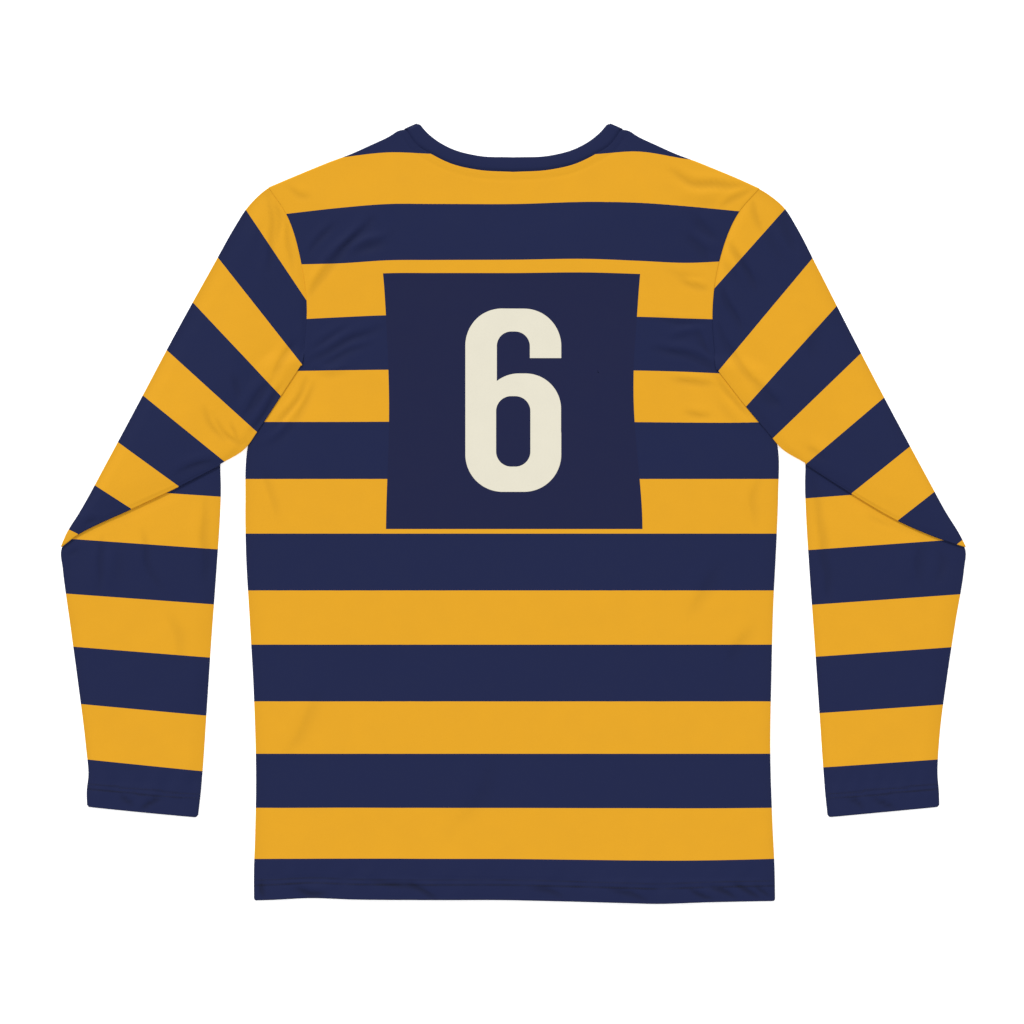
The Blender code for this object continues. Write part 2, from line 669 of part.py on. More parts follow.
def make_binding():
    """The neck binding, a strip joined into a ring and laid flat."""
    outer = [[] for _ in range(BINDING_STEPS + 1)]
    inner = [[] for _ in range(BINDING_STEPS + 1)]
    for free, seam, normal in binding_sections():
        width = (seam - free).length
        at_shoulder = abs(seam.x) > NECK_SEAM_BACK[0][0] - SHOULDER_REACH
        clear = SHOULDER_GAP if at_shoulder else GAP
        for i in range(BINDING_STEPS + 1):
            share = i / BINDING_STEPS * (1.0 - clear / width)
            crown = BINDING_CROWN * math.sin(math.pi * i / BINDING_STEPS) if normal.z > FACES_UP else 0.0
            middle = free.lerp(seam, share)
            outer[i].append(middle + normal * (BINDING_WALL / 2 + crown))
            inner[i].append(middle - normal * BINDING_WALL / 2)
    return cloth_wall("neck_binding", outer, inner, True, NAVY)


for old in list(bpy.data.objects):
    bpy.data.objects.remove(old)
jersey = bpy.data.collections.new("jersey")
bpy.context.scene.collection.children.link(jersey)
make_front()
make_back()
make_sleeve("left")
make_sleeve("right")
make_binding()
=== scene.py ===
"""The looks of the sports jersey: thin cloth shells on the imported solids.

Each shell follows its solid's form and adds the creases, rolled seams, stitches and printed hoops.
The jersey lies flat with its back uppermost: +X towards the wearer's right, +Y towards the neck.
"""

import math

import bpy
import numpy as np
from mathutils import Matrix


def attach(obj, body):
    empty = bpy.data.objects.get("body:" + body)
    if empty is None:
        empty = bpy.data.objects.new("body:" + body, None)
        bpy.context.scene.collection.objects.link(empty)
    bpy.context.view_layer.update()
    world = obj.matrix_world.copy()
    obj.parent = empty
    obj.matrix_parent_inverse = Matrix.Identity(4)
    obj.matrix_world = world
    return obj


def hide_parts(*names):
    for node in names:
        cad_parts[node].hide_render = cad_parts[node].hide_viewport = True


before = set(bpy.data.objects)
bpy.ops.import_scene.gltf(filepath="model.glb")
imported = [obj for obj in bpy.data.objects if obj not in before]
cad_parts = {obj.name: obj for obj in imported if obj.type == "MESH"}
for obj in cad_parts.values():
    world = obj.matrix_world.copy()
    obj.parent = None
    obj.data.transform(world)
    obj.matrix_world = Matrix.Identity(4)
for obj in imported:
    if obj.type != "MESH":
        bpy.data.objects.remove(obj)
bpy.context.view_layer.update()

# Sizes and places are in millimetres, in the same frame as the solids, and meshes are made in metres
METRE = 0.001
CENTRE = np.array([-0.165, -0.065])
UP = np.array([0.0, 0.0, 1.0])
TINY = 1e-6
FAR = 1000.0

# Cloth: the knit's own thickness, the back panel's outer skin and the turned-up hem
KNIT = 0.6
GAP = 0.08
BACK_TOP = 2.0
HEM_DEPTH = 19.0
HEM_EXTRA = 0.3
HEM_LAYERS = 1.1
BACK_LOFT = 1.3
LOFT_WIDTH = 70.0
HEM_WAVES = 6
HEM_WAVE_RISE = 0.9
HEM_WAVE_REACH = 60.0

# Sleeve tube: half of its flattened thickness, at its pressed folds too, and how it narrows to the seam
TUBE_HALF = 1.0
FOLD_HALF = 0.5
FOLD_SOFTNESS = 22.0
PLEAT_SOFTNESS = 45.0
SLEEVE_CROWN = 0.7
CUFF_DEPTH = 22.5
CUFF_EXTRA = 0.3
SEAM_STEP = 0.4
SEAM_HALF = 0.22
SEAM_MIDDLE = 1.12
SEAM_BLEND = 12.0
SEAM_TUCK = 2.2
SEAM_OVERLAP = 1.2
SLEEVE_WIDTH = 170.0
TUBE_MARGIN = FOLD_HALF / SLEEVE_WIDTH

# Elbow pleat: the middle radius of its two turns, which sets its layers apart
TURN_RADIUS = FOLD_HALF + GAP / 2
TURN_REACH = TURN_RADIUS + FOLD_HALF
LAYER_STEP = 2 * TURN_RADIUS

# The sleeve climbs over the body's corner and over the elbow pleat, then eases down
OVER_BODY = BACK_TOP + 2 * GAP
OVER_PLEAT = 2 * LAYER_STEP
BODY_FLAT = 5.0
BODY_EASE = 42.0
SEAM_STRETCH = 2.6
BESIDE_FLAT = 12.0
BESIDE_EASE = 40.0
PLEAT_FLAT = 12.0
PLEAT_EASE = 72.0

# Neck binding
BINDING_HALF = 0.5
BINDING_CROWN = 0.35
BINDING_WIDTH = 14.5
BINDING_TUCK = 1.2
BINDING_RADIUS = 0.57
BINDING_SHORT = 0.15
BINDING_ROLL = 1.1
BINDING_RIM = 0.04
SINK_DEPTH = 0.45
SINK_START = 2.5
SINK_END = 0.5
NECK_CORNER_RADIUS = 3.2
NECK_CORNER_STEP = 0.1
FACES_UP = 0.99

# Rolled edges of the panels: how wide they roll and how far they sink or rise, and thinner seams
SIDE_ROLL = 2.0
TOP_ROLL = 1.8
HEM_ROLL = 1.5
CUFF_ROLL = 1.3
FOLD_SINK = 0.5
ARMHOLE_SINK = 0.42
NECK_SINK = 0.2
EDGE_SINK = 0.6
FRONT_SIDE_RISE = 0.3
FRONT_TOP_RISE = 0.15
SEAM_WIDTH = 3.0
SEAM_THINNING = 0.58
THINNEST = 0.05

# Where parts of the body end: the underarms, the neck's ends, half of the chest and of the hem
UNDERARM_HEIGHT = 110.0
NECK_END = 103.6
HALF_CHEST = 250.0
HEM_END = 248.0

# Uneven heights, each as a seed, wavelengths and a size
BACK_UNEVEN = (21, (95, 130, 170, 210), 0.35)
BACK_FINE = (22, (19, 27, 34, 23), 0.05)
SLEEVE_UNEVEN = (41, (46, 63, 85, 120), 0.3)
SLEEVE_FINE = (42, (17, 24, 31), 0.05)
HEM_WANDER = (11, (90, 47, 140), 1.1)
CUFF_WANDER = (51, (33, 52, 75), 0.9)
HEM_PUCKERS = (31, (14, 19, 26, 33), 0.5)
CUFF_PUCKERS = (52, (13, 18, 25), 0.5)
CREASE_WANDER = ((3, (37, 53), 1.4), (4, (41, 61), 1.4))

# Where uneven heights and creases begin, and are full, in from a seam, a sleeve or a fold
UNEVEN_RANGE = (10, 60)
FINE_RANGE = (2, 20)
CREASE_RANGE = (0.5, 8.0)
BESIDE_ARM = (1.0, 5.0)
ARM_LOFT_RANGE = (4.0, 40.0)
PAST_PLEAT = (2.0, 12.0)
TUCK_RANGE = (0.02, 0.3)
SQUARE_REACH = 40.0
SEAM_CREASE_REACH = 6.0
FOLD_CREASE_REACH = 8.0

# The same on a sleeve's upper wall, as shares of its width, and the lowest that cloth may sink
CREASE_RIM = 0.04
UNEVEN_RIM = 0.05
BULGE_RIM = 0.015
PUCKER_RIM = 0.08
TRIM_RIM = 0.01
BACK_LOWEST = -0.35
SLEEVE_LOWEST = -0.5

# Hem, cuffs and neck: their steps, waves, puckers and pressed-in stitch rows
HEM_STEP = 0.9
CUFF_STEP = 0.8
CUFF_EASE = 8.0
CUFF_RISE = 0.35
WAVE_SHIFT = 0.8
WAVE_SHIFT_LENGTH = 60.0
WAVE_END = 25.0
HEM_PUCKER_REACH = 13.0
CUFF_PUCKER_REACH = 11.0
PUCKER_STRETCH = 0.4
PUCKER_END = 18.0
GROOVE_HALF = 1.8
HEM_GROOVE = 0.35
CUFF_GROOVE = 0.4
NECK_GROOVE = 0.3
NECK_GROOVE_HALF = 1.2
NECK_RISE = 0.15
NECK_RISE_RANGE = (5.0, 7.0)

# Sleeves: how two climbs join, where the cuff's run is read, and the elbow crease's slope
LIFT_POWER = 4
BEFORE_CUFF = 0.97
CREASE_SLOPE = 0.88

# Outline of the body from the shoulder tip down, for each side: out and up
ARMHOLE = {
    "left": [(235.2, 313), (218, 287.1), (203.6, 239.9), (198.4, 199), (200, 168), (201.6, 155),
             (203.3, 145.5), (204, 141.6)],
    "right": [(236.1, 312), (216.8, 289.9), (197.7, 242.7), (191.2, 199), (191.8, 168), (193.2, 153),
              (194.7, 141.5), (195.4, 137.5)],
}
BODY_SIDE = {
    "left": [(214, 137), (244, 101), (255, 64.3), (257.3, 10), (256.8, -35.5), (253, -104.6),
             (249.2, -173.8), (247.1, -260.2), (248.1, -312), (249.2, -346.6), (249, -371.5)],
    "right": [(206, 133.5), (243, 101), (253.8, 62), (254, 20), (252.2, -30), (249.3, -87.4),
              (247.5, -156.5), (246.4, -225.6), (248.4, -294.7), (250.7, -346.6), (251, -371.5)],
}
SHOULDER = [(214, 322), (195, 329.9), (175.7, 337.7), (156.5, 344.8), (137.3, 353.4), (118, 362.6),
            (110.5, 367.3), (103.5, 368.6)]

# Lower edge of the body, across and up
HEM_EDGE = [(-249, -371.4), (-233.3, -370.9), (-195, -369.1), (-156.5, -370.3), (-98.9, -370.9),
            (-2.9, -371.1), (54.7, -372.4), (112.3, -374), (131.5, -374.6), (189.1, -373), (251, -371.9)]
HEM_CORNER = HEM_EDGE[0][1]

# Neck opening from the shoulder to the centre line: seam and free edge, at the back and the front
NECK_SEAM_BACK = [(103.5, 368.6), (91.7, 352.8), (80, 345.6), (60.5, 336), (34, 329.8), (0, 327.8)]
NECK_FREE_BACK = [(90.4, 374.3), (83.8, 366.4), (74, 358.2), (60.5, 350.6), (34, 343.4), (0, 341.9)]
NECK_SEAM_FRONT = [(103.5, 368.6), (100.5, 345), (90.5, 315), (68.5, 288), (36, 271.5), (0, 267)]
NECK_FREE_FRONT = [(90.4, 374.3), (86.8, 349), (77.5, 322), (58.5, 299), (31, 285.2), (0, 281)]

# Sleeve outlines, for each side: shoulder to elbow, underarm, elbow crease and forearm
SLEEVE_OUTER = {
    "left": [(235, 313), (239, 310), (256.1, 292.8), (267.2, 275.5), (286.5, 241), (324.8, 171.8),
             (361.4, 102.7), (389.1, 50.9), (417.7, -1), (428.5, -18.2), (433.5, -32.4)],
    "right": [(235.9, 312), (239.1, 310), (260.4, 292.8), (271.4, 275.5), (289.3, 241), (324.4, 171.8),
              (360.3, 102.7), (397.3, 33.6), (416.3, -1), (427.1, -18.2), (433.2, -32.4)],
}
UNDERARM = {
    "left": [(204.3, 141.6), (223.2, 112.8), (246.2, 78.2), (257.5, 62.4), (281, 45.8)],
    "right": [(195.7, 137.5), (223.2, 102.5), (246, 75.6), (257, 62.6), (279.6, 47.4)],
}
ELBOW_CREASE = {
    "left": [(433.9, -32.4), (414.9, -18.6), (406, -14), (365.4, 4.6), (319.9, 26.2), (281, 46.4)],
    "right": [(433.6, -32.4), (412.8, -25.7), (371.5, -8.5), (323.2, 19.4), (279.6, 47.4)],
}
HIDDEN_TURN = {"left": [(422, -13), (282.5, 101)], "right": [(421, -13.5), (281.5, 101)]}
FOREARM_OUTER = {
    "left": [(434.4, -36), (432.8, -52.8), (425.8, -104.6), (418.7, -156.5), (410.1, -225.6), (407.9, -250),
             (409.3, -268), (408.8, -281.6)],
    "right": [(434, -36), (432.6, -52.8), (424.1, -104.6), (416.1, -156.5), (408.6, -216), (406.9, -250),
              (407.9, -268), (408.3, -281.6)],
}
FOREARM_INNER = {
    "left": [(281.4, 46), (280.9, 20), (281.7, -1), (285.1, -52.8), (290.2, -121.9), (294.8, -191),
             (299.8, -260.2), (303.4, -291.8)],
    "right": [(280.2, 46), (279.8, 30), (280.8, -1), (284, -52.8), (289, -121.9), (293.8, -191),
              (298.8, -260.2), (302, -291.6)],
}
CUFF_EDGE = {
    "left": [(408.8, -281.6), (356, -286.9), (303.4, -291.8)],
    "right": [(408.3, -281.6), (356, -286.5), (302, -291.6)],
}
SIGN = {"left": -1.0, "right": 1.0}

# Printed hoops of the body: where each starts on the centre line, and how far it bends up at places across
HOOP_ACROSS = (-250, -210, -165, -120, -75, 0, 75, 120, 165, 210, 250)
LEVEL = (0.0,) * len(HOOP_ACROSS)
BODY_HOOPS = [
    (399.5, (-18, -11.5, -5.6, -0.6, -2.4, 0, -2.4, -0.5, -6.8, -12.5, -19)),
    (347.5, (-18, -11.5, -5.8, -1, -2.4, 0.2, -2.8, -0.2, -7.2, -12.5, -19)),
    (297.1, (-13.5, -8.6, -3.6, -0.1, 0, -0.1, 2, 1.1, -2.1, -6.4, -10.5)),
    (243.1, (-5, -4.1, -3, -0.2, 0.1, 0.4, 1.1, -0.7, -2.6, -0.7, 0.5)),
    (187.9, (-4, -1.8, 0.5, 2.3, 2, 1, 0.8, 0.8, -0.7, -2.1, -4)),
    (137.1, (-0.6, -0.3, 0.3, 0.8, 0.8, 0.4, 0.3, 0, -1.2, -3.1, -4)),
    (87.5, (0.4, 0.4, 0.4, 0.6, 0.5, 0.4, 0.3, 0.2, -0.2, -0.3, 0.4)),
    (33.1, LEVEL), (-19.25, LEVEL), (-73.9, LEVEL), (-125.8, LEVEL), (-180.35, LEVEL), (-230.5, LEVEL),
    (-282.5, (0, 0, 0.2, 0.1, 0, 0, -0.2, -0.3, -0.4, -0.3, 0)),
    (-331.55, (0.1, 0.3, 0.5, 0.5, 0.3, 0.1, -0.8, -1.3, -1.4, -0.8, 0.2)),
    (-385, LEVEL),
]
# Hoops of the sleeves, from a point on the outer edge and along it: start, and lean for each mm inwards
UPPER_ARM_AXIS = {"left": (257.8, 290.4), "right": (258.7, 290.4)}
UPPER_ARM_RUN = (0.4836, -0.8753)
UPPER_ARM_HOOPS = {
    "left": [(-60, 0.56), (-1.5, 0.516), (52.2, 0.421), (101.4, 0.322), (153.5, 0.236), (202.3, 0.178),
             (253.1, 0.123), (299.9, 0.07), (349.2, -0.05), (400, -0.08)],
    "right": [(-60, 0.34), (0.3, 0.352), (54.5, 0.389), (105.1, 0.345), (155.6, 0.268), (203.3, 0.202),
              (256.3, 0.172), (305.6, 0.16), (359.3, 0.15), (410, 0.15)],
}
FOREARM_AXIS = {"left": (434.9, -33.1), "right": (434.9, -33.1)}
FOREARM_RUN = (-0.106, -0.9944)
FOREARM_HOOPS = {
    "left": [(-112, 0.17), (-60.3, 0.175), (-9.6, 0.179), (44, 0.181), (95, 0.188), (150.3, 0.201),
             (203.7, 0.211), (256, 0.21)],
    "right": [(-112, 0.17), (-60.3, 0.185), (-9.1, 0.18), (44.6, 0.179), (95.4, 0.178), (150.7, 0.177),
              (203.7, 0.177), (256, 0.18)],
}

# Printed field and numeral on the back: the field's sides by height, its top and bottom
FIELD_LEFT = [(-122.4, -14.9), (-121.8, 12.5), (-121.2, 30), (-119.5, 85), (-119.4, 104), (-119.9, 131.5),
              (-122.7, 193), (-124.3, 219), (-125.3, 231)]
FIELD_RIGHT = [(123.8, -14.9), (123.5, -2), (122.7, 12.5), (121.3, 30), (116.4, 85), (115.4, 104),
               (115.2, 131.5), (118.8, 193), (120.6, 219), (121.6, 231)]
FIELD_TOP = 230.2
FIELD_BOTTOM = -14.9
# Parts of the numeral, each a rounded box: middle across and up, half width and height, corner radius
NUMERAL_BODY = (-0.2, 108.25, 46.0, 87.45, 35.8)
NUMERAL_BOWL = (8.4, 77.4, 37.2, 56.6, 34.0)
NUMERAL_SLOT = (-0.15, 136.85, 15.85, 36.95, 14.0)
NUMERAL_COUNTER = (-0.25, 78.55, 16.45, 33.65, 14.5)
NUMERAL_ARM_END = 148.65
OFF_THE_FIELD = 9.0

# Creases: three or four points across and up, then rise, half width, and lean, which broadens one flank
BACK_CREASES = [
    (-195, 252, -184, 266, -173, 278, -0.45, 2.6, 0.3),
    (-190, 220, -170, 246, -137, 282.5, -0.75, 3.2, 0.3),
    (-176, 246, -160, 263, -141, 280, 0.5, 3, 0.3),
    (-197, 207, -188, 224, -178, 241, -0.5, 3, 0.3),
    (-158, 253, -140, 263, -121, 269, 0.5, 3, 0.3),
    (-154, 248, -138, 256, -124, 261, -0.35, 3.2, 0.2),
    (-193, 148, -164, 163, -130, 179, -0.7, 3.2, 0.3),
    (-195, 157, -176, 169, -157, 178, -0.4, 2.8, 0.2),
    (-182, 143, -160, 154, -137, 164, -0.4, 3, 0.2),
    (-188, 139, -174, 138, -158, 142, 0.3, 3, 0.2),
    (-199, 128, -210, 106, -228, 84, -0.6, 2.6, 0.2),
    (-192, 124, -200, 106, -208, 90, -0.35, 3, 0.2),
    (-205, 104, -222, 82, -240, 68, 0.4, 3, 0.2),
    (-216, 312, -206, 306, -196, 305, -0.3, 3, 0.2),
    (-240, 40, -232, 20, -228, -5, -0.25, 4, 0.2),
    (152, 328, 174, 318, 198, 315.5, 230, 315, -0.7, 3.2, 0.3),
    (160, 312, 182, 306, 206, 308, 0.35, 5, 0.3),
    (201, 296, 214, 304, 230, 310, -0.5, 2.4, 0.2),
    (174, 285, 183, 274, 194, 262, -0.5, 4.5, 0.3),
    (169, 267, 180, 256, 194, 246, -0.55, 3.6, 0.3),
    (176, 262, 186, 252, 196, 238, 0.35, 3, 0.2),
    (160, 225, 172, 219, 186, 215, -0.5, 2.8, 0.3),
    (150, 232, 166, 229, 182, 226, -0.25, 3, 0.2),
    (138, 157, 160, 154.5, 182, 146, 195, 138, -0.85, 3, 0.3),
    (176, 177, 183, 163, 190, 147, -0.5, 2.8, 0.2),
    (136, 186, 160, 184, 188, 183, -0.35, 2.8, 0.2),
    (146, 172, 164, 176, 182, 176, 0.4, 3, 0.2),
    (155, 129.5, 172, 126, 191, 124.5, -0.55, 2.8, 0.3),
    (164, 97, 176, 94, 190, 94, -0.4, 2.8, 0.2),
    (195, 134, 207, 114, 226, 97, -0.6, 2.6, 0.2),
    (200, 112, 212, 98, 226, 84, 0.3, 3, 0.2),
    (236, 36, 230, 14, 232, -12, -0.25, 4, 0.2),
    (169.4, -95.5, 182, -75, 195.4, -51.4, -0.3, 6, 0.3),
    (205, -140.6, 216, -126, 227, -111.8, -0.3, 6, 0.3),
    (-220, -230, -200, -205, -190, -176, -0.25, 6, 0.3),
    (-60, -300, -30, -268, -20, -236, -0.2, 7, 0.3),
    (170, -360, 181, -364.5, 191, -368.6, -0.45, 2, 0.2),
    (191, -358, 203, -363, 213, -368.6, -0.5, 2, 0.2),
    (213, -356, 224, -361, 234, -367.5, -0.5, 2, 0.2),
    (230, -357, 237, -361, 245, -367, -0.4, 2, 0.2),
    (-208, -361, -195, -363.5, -182, -363, -0.5, 2.6, 0.2),
    (-241, -353, -242, -360, -240, -367, -0.45, 2.6, 0.2),
    (-102, -356, -88, -361, -73, -369, -0.5, 2.2, 0.2),
    (-137, -353, -115, -355, -94, -357, -0.3, 2.2, 0.2),
    (18, -359, 32, -362, 46, -366.5, -0.3, 2.2, 0.2),
    (92, -360, 112, -364, 128, -370, -0.3, 2.4, 0.2),
]
SLEEVE_CREASES = {
    "left": [
        (233.8, 308, 232.5, 270, 234.5, 234, -0.6, 2.8, 0.3),
        (227.4, 306, 226, 284, 225.8, 259.4, -0.45, 2.4, 0.3),
        (221, 288, 216, 262, 213, 234, -0.45, 2.6, 0.3),
        (243, 300, 245, 280, 250, 262, 0.3, 4, 0.3),
        (211.4, 163.4, 221, 150.6, 233.8, 131, -0.55, 3.4, 0.3),
        (236, 126, 246, 110, 258, 93, -0.65, 3.8, 0.3),
        (224, 121.8, 236, 99, 249.8, 77, -0.55, 2.6, 0.2),
        (269, 131, 266, 120, 264.2, 109, -0.4, 3, 0.2),
        (297.4, 100.6, 289, 83, 277, 70.6, -0.4, 2.4, 0.2),
        (289, 94.6, 274, 76, 262.6, 66, -0.45, 2.4, 0.2),
        (269.8, 87, 265, 76, 262.6, 66.5, -0.45, 2.4, 0.2),
        (322.6, 38, 301, 47, 286.6, 49.5, -0.5, 3.4, 0.3),
        (411, -11, 404, -8, 396, -7.5, -0.4, 3.4, 0.2),
        (395.8, -24, 396.6, -48, 398.5, -72, -0.5, 3, 0.3),
        (388, -28, 386, -50, 387, -66, 0.35, 4, 0.3),
        (356, -20, 351.4, -49.4, 339.4, -72, -0.5, 3, 0.3),
        (296.2, 12, 297, -28, 295.5, -66, -0.5, 4, 0.3),
        (426.5, -40.5, 422, -37, 416, -35.5, -0.4, 2.6, 0.2),
        (330, -96, 322, -118, 320, -144, -0.2, 5, 0.2),
        (340, -274.8, 348, -277, 357, -282, -0.45, 2, 0.2),
        (376, -270, 370, -274.5, 363, -279, -0.3, 2.2, 0.2),
    ],
    "right": [
        (227, 303, 234, 285, 239.5, 271, -0.5, 2.8, 0.3),
        (207, 258.5, 222, 236.5, 233, 217, -0.75, 3, 0.3),
        (202, 250, 213, 236, 222, 222, 0.4, 2.8, 0.2),
        (257, 286, 263, 268, 271, 252, -0.6, 4.2, 0.3),
        (249, 276, 256, 260, 264, 246, 0.35, 3.4, 0.2),
        (200, 216, 208, 197.8, 219, 176, -0.65, 3, 0.3),
        (197, 180, 216, 146, 234, 125.8, 252, 106, -0.65, 3.2, 0.3),
        (234.7, 118, 246, 108, 258, 102, -0.5, 4.5, 0.3),
        (290, 180, 286, 164, 287, 148, -0.25, 5, 0.2),
        (288, 36, 294, -15.8, 300, -59, 301, -82, -0.7, 3.6, 0.3),
        (391, -30, 388, -48, 391, -66, -0.4, 5, 0.3),
        (408, -36, 411, -52, 408, -66, -0.3, 4, 0.2),
        (342, 0, 356, -9, 372, -15, -0.4, 2.4, 0.2),
        (282, 64, 290, 58, 298, 50, -0.35, 4, 0.2),
        (346, -274, 355, -277, 366, -282, -0.35, 2, 0.2),
        (322, -272, 330, -277, 336, -284, -0.3, 2, 0.2),
    ],
}

# A crease's strength, its share at its ends, the low hollow beside it, how far it is followed, how deep a
# crease must be for its full painted shade, how much that painted shade darkens the knit's colour, and the
# radius of the rounded corners at the hem and the cuffs
CREASE_GAIN = 2.1
CREASE_END = 0.2
BESIDE_SHARE = 0.45
BESIDE_AWAY = 2.0
BESIDE_WIDTH = 1.3
CREASE_MARGIN = 5.0
CREASE_SHADE_DEPTH = 0.6
PAINTED_SHADE_TONE = -0.14
CORNER_RADIUS = 2.2

# Painted shade: beside the edges, and along rows of stitches, which are a pair on the hem and the cuffs; the
# rows' places also set the stitches and their grooves, and the turned-up cloth gets stronger painted crease
# shade
EDGE_SHADE_REACH = 5.0
EDGE_SHADE_SHARE = 0.55
SEWN_HEM = 19.4
SEWN_CUFF = 22.2
SEWN_NECK = 6.5
SEWN_PAIR = 4.8
STITCH_SHADE_HALF = 1.5
STITCH_SHADE_TONE = -0.5
NECK_STITCH_SHADE_SHARE = 0.13
UPPER_ROW_SHADE_SHARE = 0.6
TURNED_REACH = 26.0
TURNED_EASE = 15.0
TURNED_SHADE_GAIN = 2.2

# Steps of the cloth grids
PANEL_HEIGHT = 690.0
BACK_SIDE_CELL = 2.1
BACK_NECK_CELL = 5.0
BACK_ROWS = [(0.06, 2.4), (0.6, 4.6), (1.0, 2.3)]
FRONT_CELL = 6.0
FRONT_ROWS = [(0.06, 4.0), (1.0, 6.0)]
SLEEVE_CELL = 2.65
END_STEPS = 8
TURN_STEPS = 10
PLEAT_RINGS = 12
BINDING_CELL = 1.6
BINDING_STEPS = 49
CORNER_STEPS = 25
EDGE_LINES = np.array([0.2, 0.5, 0.9, 1.5, 2.3])
LINE_SPACE = 1.4
BATCH = 4000

# Stitches: pitch, length and half width, then a stitch's slices, their sizes and its form
STITCH = (2.9, 2.3, 0.2)
CUFF_STITCH = (2.7, 2.1, 0.2)
STITCH_SLICES = np.array([-0.5, -0.42, 0.0, 0.42, 0.5])
STITCH_SIZES = (0.25, 0.85, 1.0, 0.85, 0.25)
STITCH_SIDES = 6
STITCH_ARCH = 0.55
STITCH_SINK = 0.25
STITCH_FLAT = 0.7
HEM_ROW = (-244.5, 246.0, 260)
NECK_ROW = (0.03, 1.0, 60)

# Colours, linear
NAVY = (0.0055, 0.0105, 0.0532)
FIELD_NAVY = (0.0056, 0.0086, 0.0450)
GOLD = (0.670, 0.319, 0.0095)
CREAM = (0.679, 0.644, 0.527)
THREAD_NAVY = (0.0040, 0.0070, 0.0360)
THREAD_GOLD = (0.53, 0.235, 0.0085)
FLOOR_WHITE = (0.93, 0.93, 0.93)

# Knit and thread: loop pitches, noises as scale and detail, gains, some with an offset, among them the
# unevenness of the painted stitch-row shade, and a depth in metres
WALE_PITCH = 1.25
COURSE_PITCH = 0.95
WALE_SHARE = 0.6
GRAIN = (0.9, 3.0)
BROAD = (0.045, 2.0)
TWIST = (2600.0, 2.0)
GRAIN_TONE = (0.05, 0.955)
BROAD_TONE = 0.05
LOOP_TONE = 0.008
TWIST_TONE = (0.3, 0.85)
STITCH_SHADE_UNEVEN = (3.2, -0.9)
LOOP_RISE = 0.35
KNIT_BUMP = 0.35
BUMP_DEPTH = 0.00012
KNIT_ROUGHNESS = (0.08, 0.68)
KNIT_SPECULAR = 0.2
KNIT_SHEEN = 0.03
SHEEN_ROUGHNESS = 0.4
THREAD_ROUGHNESS = 0.5
THREAD_SPECULAR = 0.3
FLOOR_ROUGHNESS = 0.9

# Light and camera, with angles in degrees, the lens in millimetres and the rest in metres
WORLD_STRENGTH = 0.86
SUN_STRENGTH = 1.9
SUN_SPREAD = 10.0
SUN_HEIGHT = 34.0
SUN_SIDE = 108.0
FLOOR_GLOW = 0.45
TO_LIGHT = np.array([math.cos(math.radians(SUN_SIDE)), math.sin(math.radians(SUN_SIDE))])
FRAME_WIDTH = 1024 * 0.96 * METRE
LENS = 200.0
SENSOR = 36.0
LOOK_AT = (-0.001275, 0.001505)
CAMERA_FAR = 50.0
FLOOR_SIZE = 9.0
FLOOR_DROP = 0.0003


def ease(low, high, value):
    """A smooth step from 0 at low to 1 at high."""
    share = np.clip((value - low) / (high - low), 0.0, 1.0)
    return share * share * (3.0 - 2.0 * share)


class Edge:
    """A smooth line through a few points, read by a share of its length or by a coordinate."""

    STEPS = 24

    def __init__(self, points):
        knots = np.array([tuple(point) for point in points], float)
        chords = np.linalg.norm(np.diff(knots, axis=0), axis=1)
        runs = np.diff(knots, axis=0) / chords[:, None]
        middle = runs[:-1] * chords[1:, None] + runs[1:] * chords[:-1, None]
        middle /= (chords[:-1] + chords[1:])[:, None]
        slopes = np.vstack([runs[:1], middle, runs[-1:]])
        share = (np.arange(1, self.STEPS + 1) / self.STEPS)[None, :, None]
        square, cube = share**2, share**3
        reach = chords[:, None, None]
        start = knots[:-1, None] * (2 * cube - 3 * square + 1)
        start = start + slopes[:-1, None] * reach * (cube - 2 * square + share)
        end = knots[1:, None] * (3 * square - 2 * cube) + slopes[1:, None] * reach * (cube - square)
        self.points = np.vstack([knots[:1], (start + end).reshape(-1, 2)])
        steps = np.linalg.norm(np.diff(self.points, axis=0), axis=1)
        self.lengths = np.concatenate([[0.0], np.cumsum(steps)])

    @property
    def length(self):
        """The line's whole length."""
        return self.lengths[-1]

    def at(self, share):
        """Points at shares of the length."""
        goal = np.clip(share, 0.0, 1.0) * self.length
        axes = [np.interp(goal, self.lengths, self.points[:, axis]) for axis in (0, 1)]
        return np.stack(axes, axis=-1)

    def out_at(self, up):
        """How far out the line is at a height, on a line that runs down."""
        return np.interp(up, self.points[::-1, 1], self.points[::-1, 0])

    def up_at(self, across):
        """How high the line is at a place across, on a line that runs from left to right."""
        return np.interp(across, self.points[:, 0], self.points[:, 1])


def nearest(places, line):
    """Distance from places to a dense line, the index of the nearest point, and the side as a sign."""
    gaps = places[:, None, :] - line[None, :, :]
    squares = (gaps**2).sum(-1)
    index = squares.argmin(1)
    rows = np.arange(len(places))
    runs = np.gradient(line, axis=0)[index]
    gap = gaps[rows, index]
    side = np.sign(runs[:, 0] * gap[:, 1] - runs[:, 1] * gap[:, 0])
    return np.sqrt(squares[rows, index]), index, side


def distance_to(places, lines):
    """Distance from places to the nearest of some dense lines."""
    flat = places.reshape(-1, 2)
    best = np.full(len(flat), np.inf)
    for line in lines:
        for start in range(0, len(flat), BATCH):
            part = slice(start, start + BATCH)
            best[part] = np.minimum(best[part], nearest(flat[part], line)[0])
    return best.reshape(places.shape[:-1])


def crease_shade_share(creases):
    """How deep in a crease's hollow places lie, from 0 to 1, which sets the strength of the painted shade
    there.
    """
    return 1.0 - np.exp(-np.maximum(-creases, 0.0) / CREASE_SHADE_DEPTH)


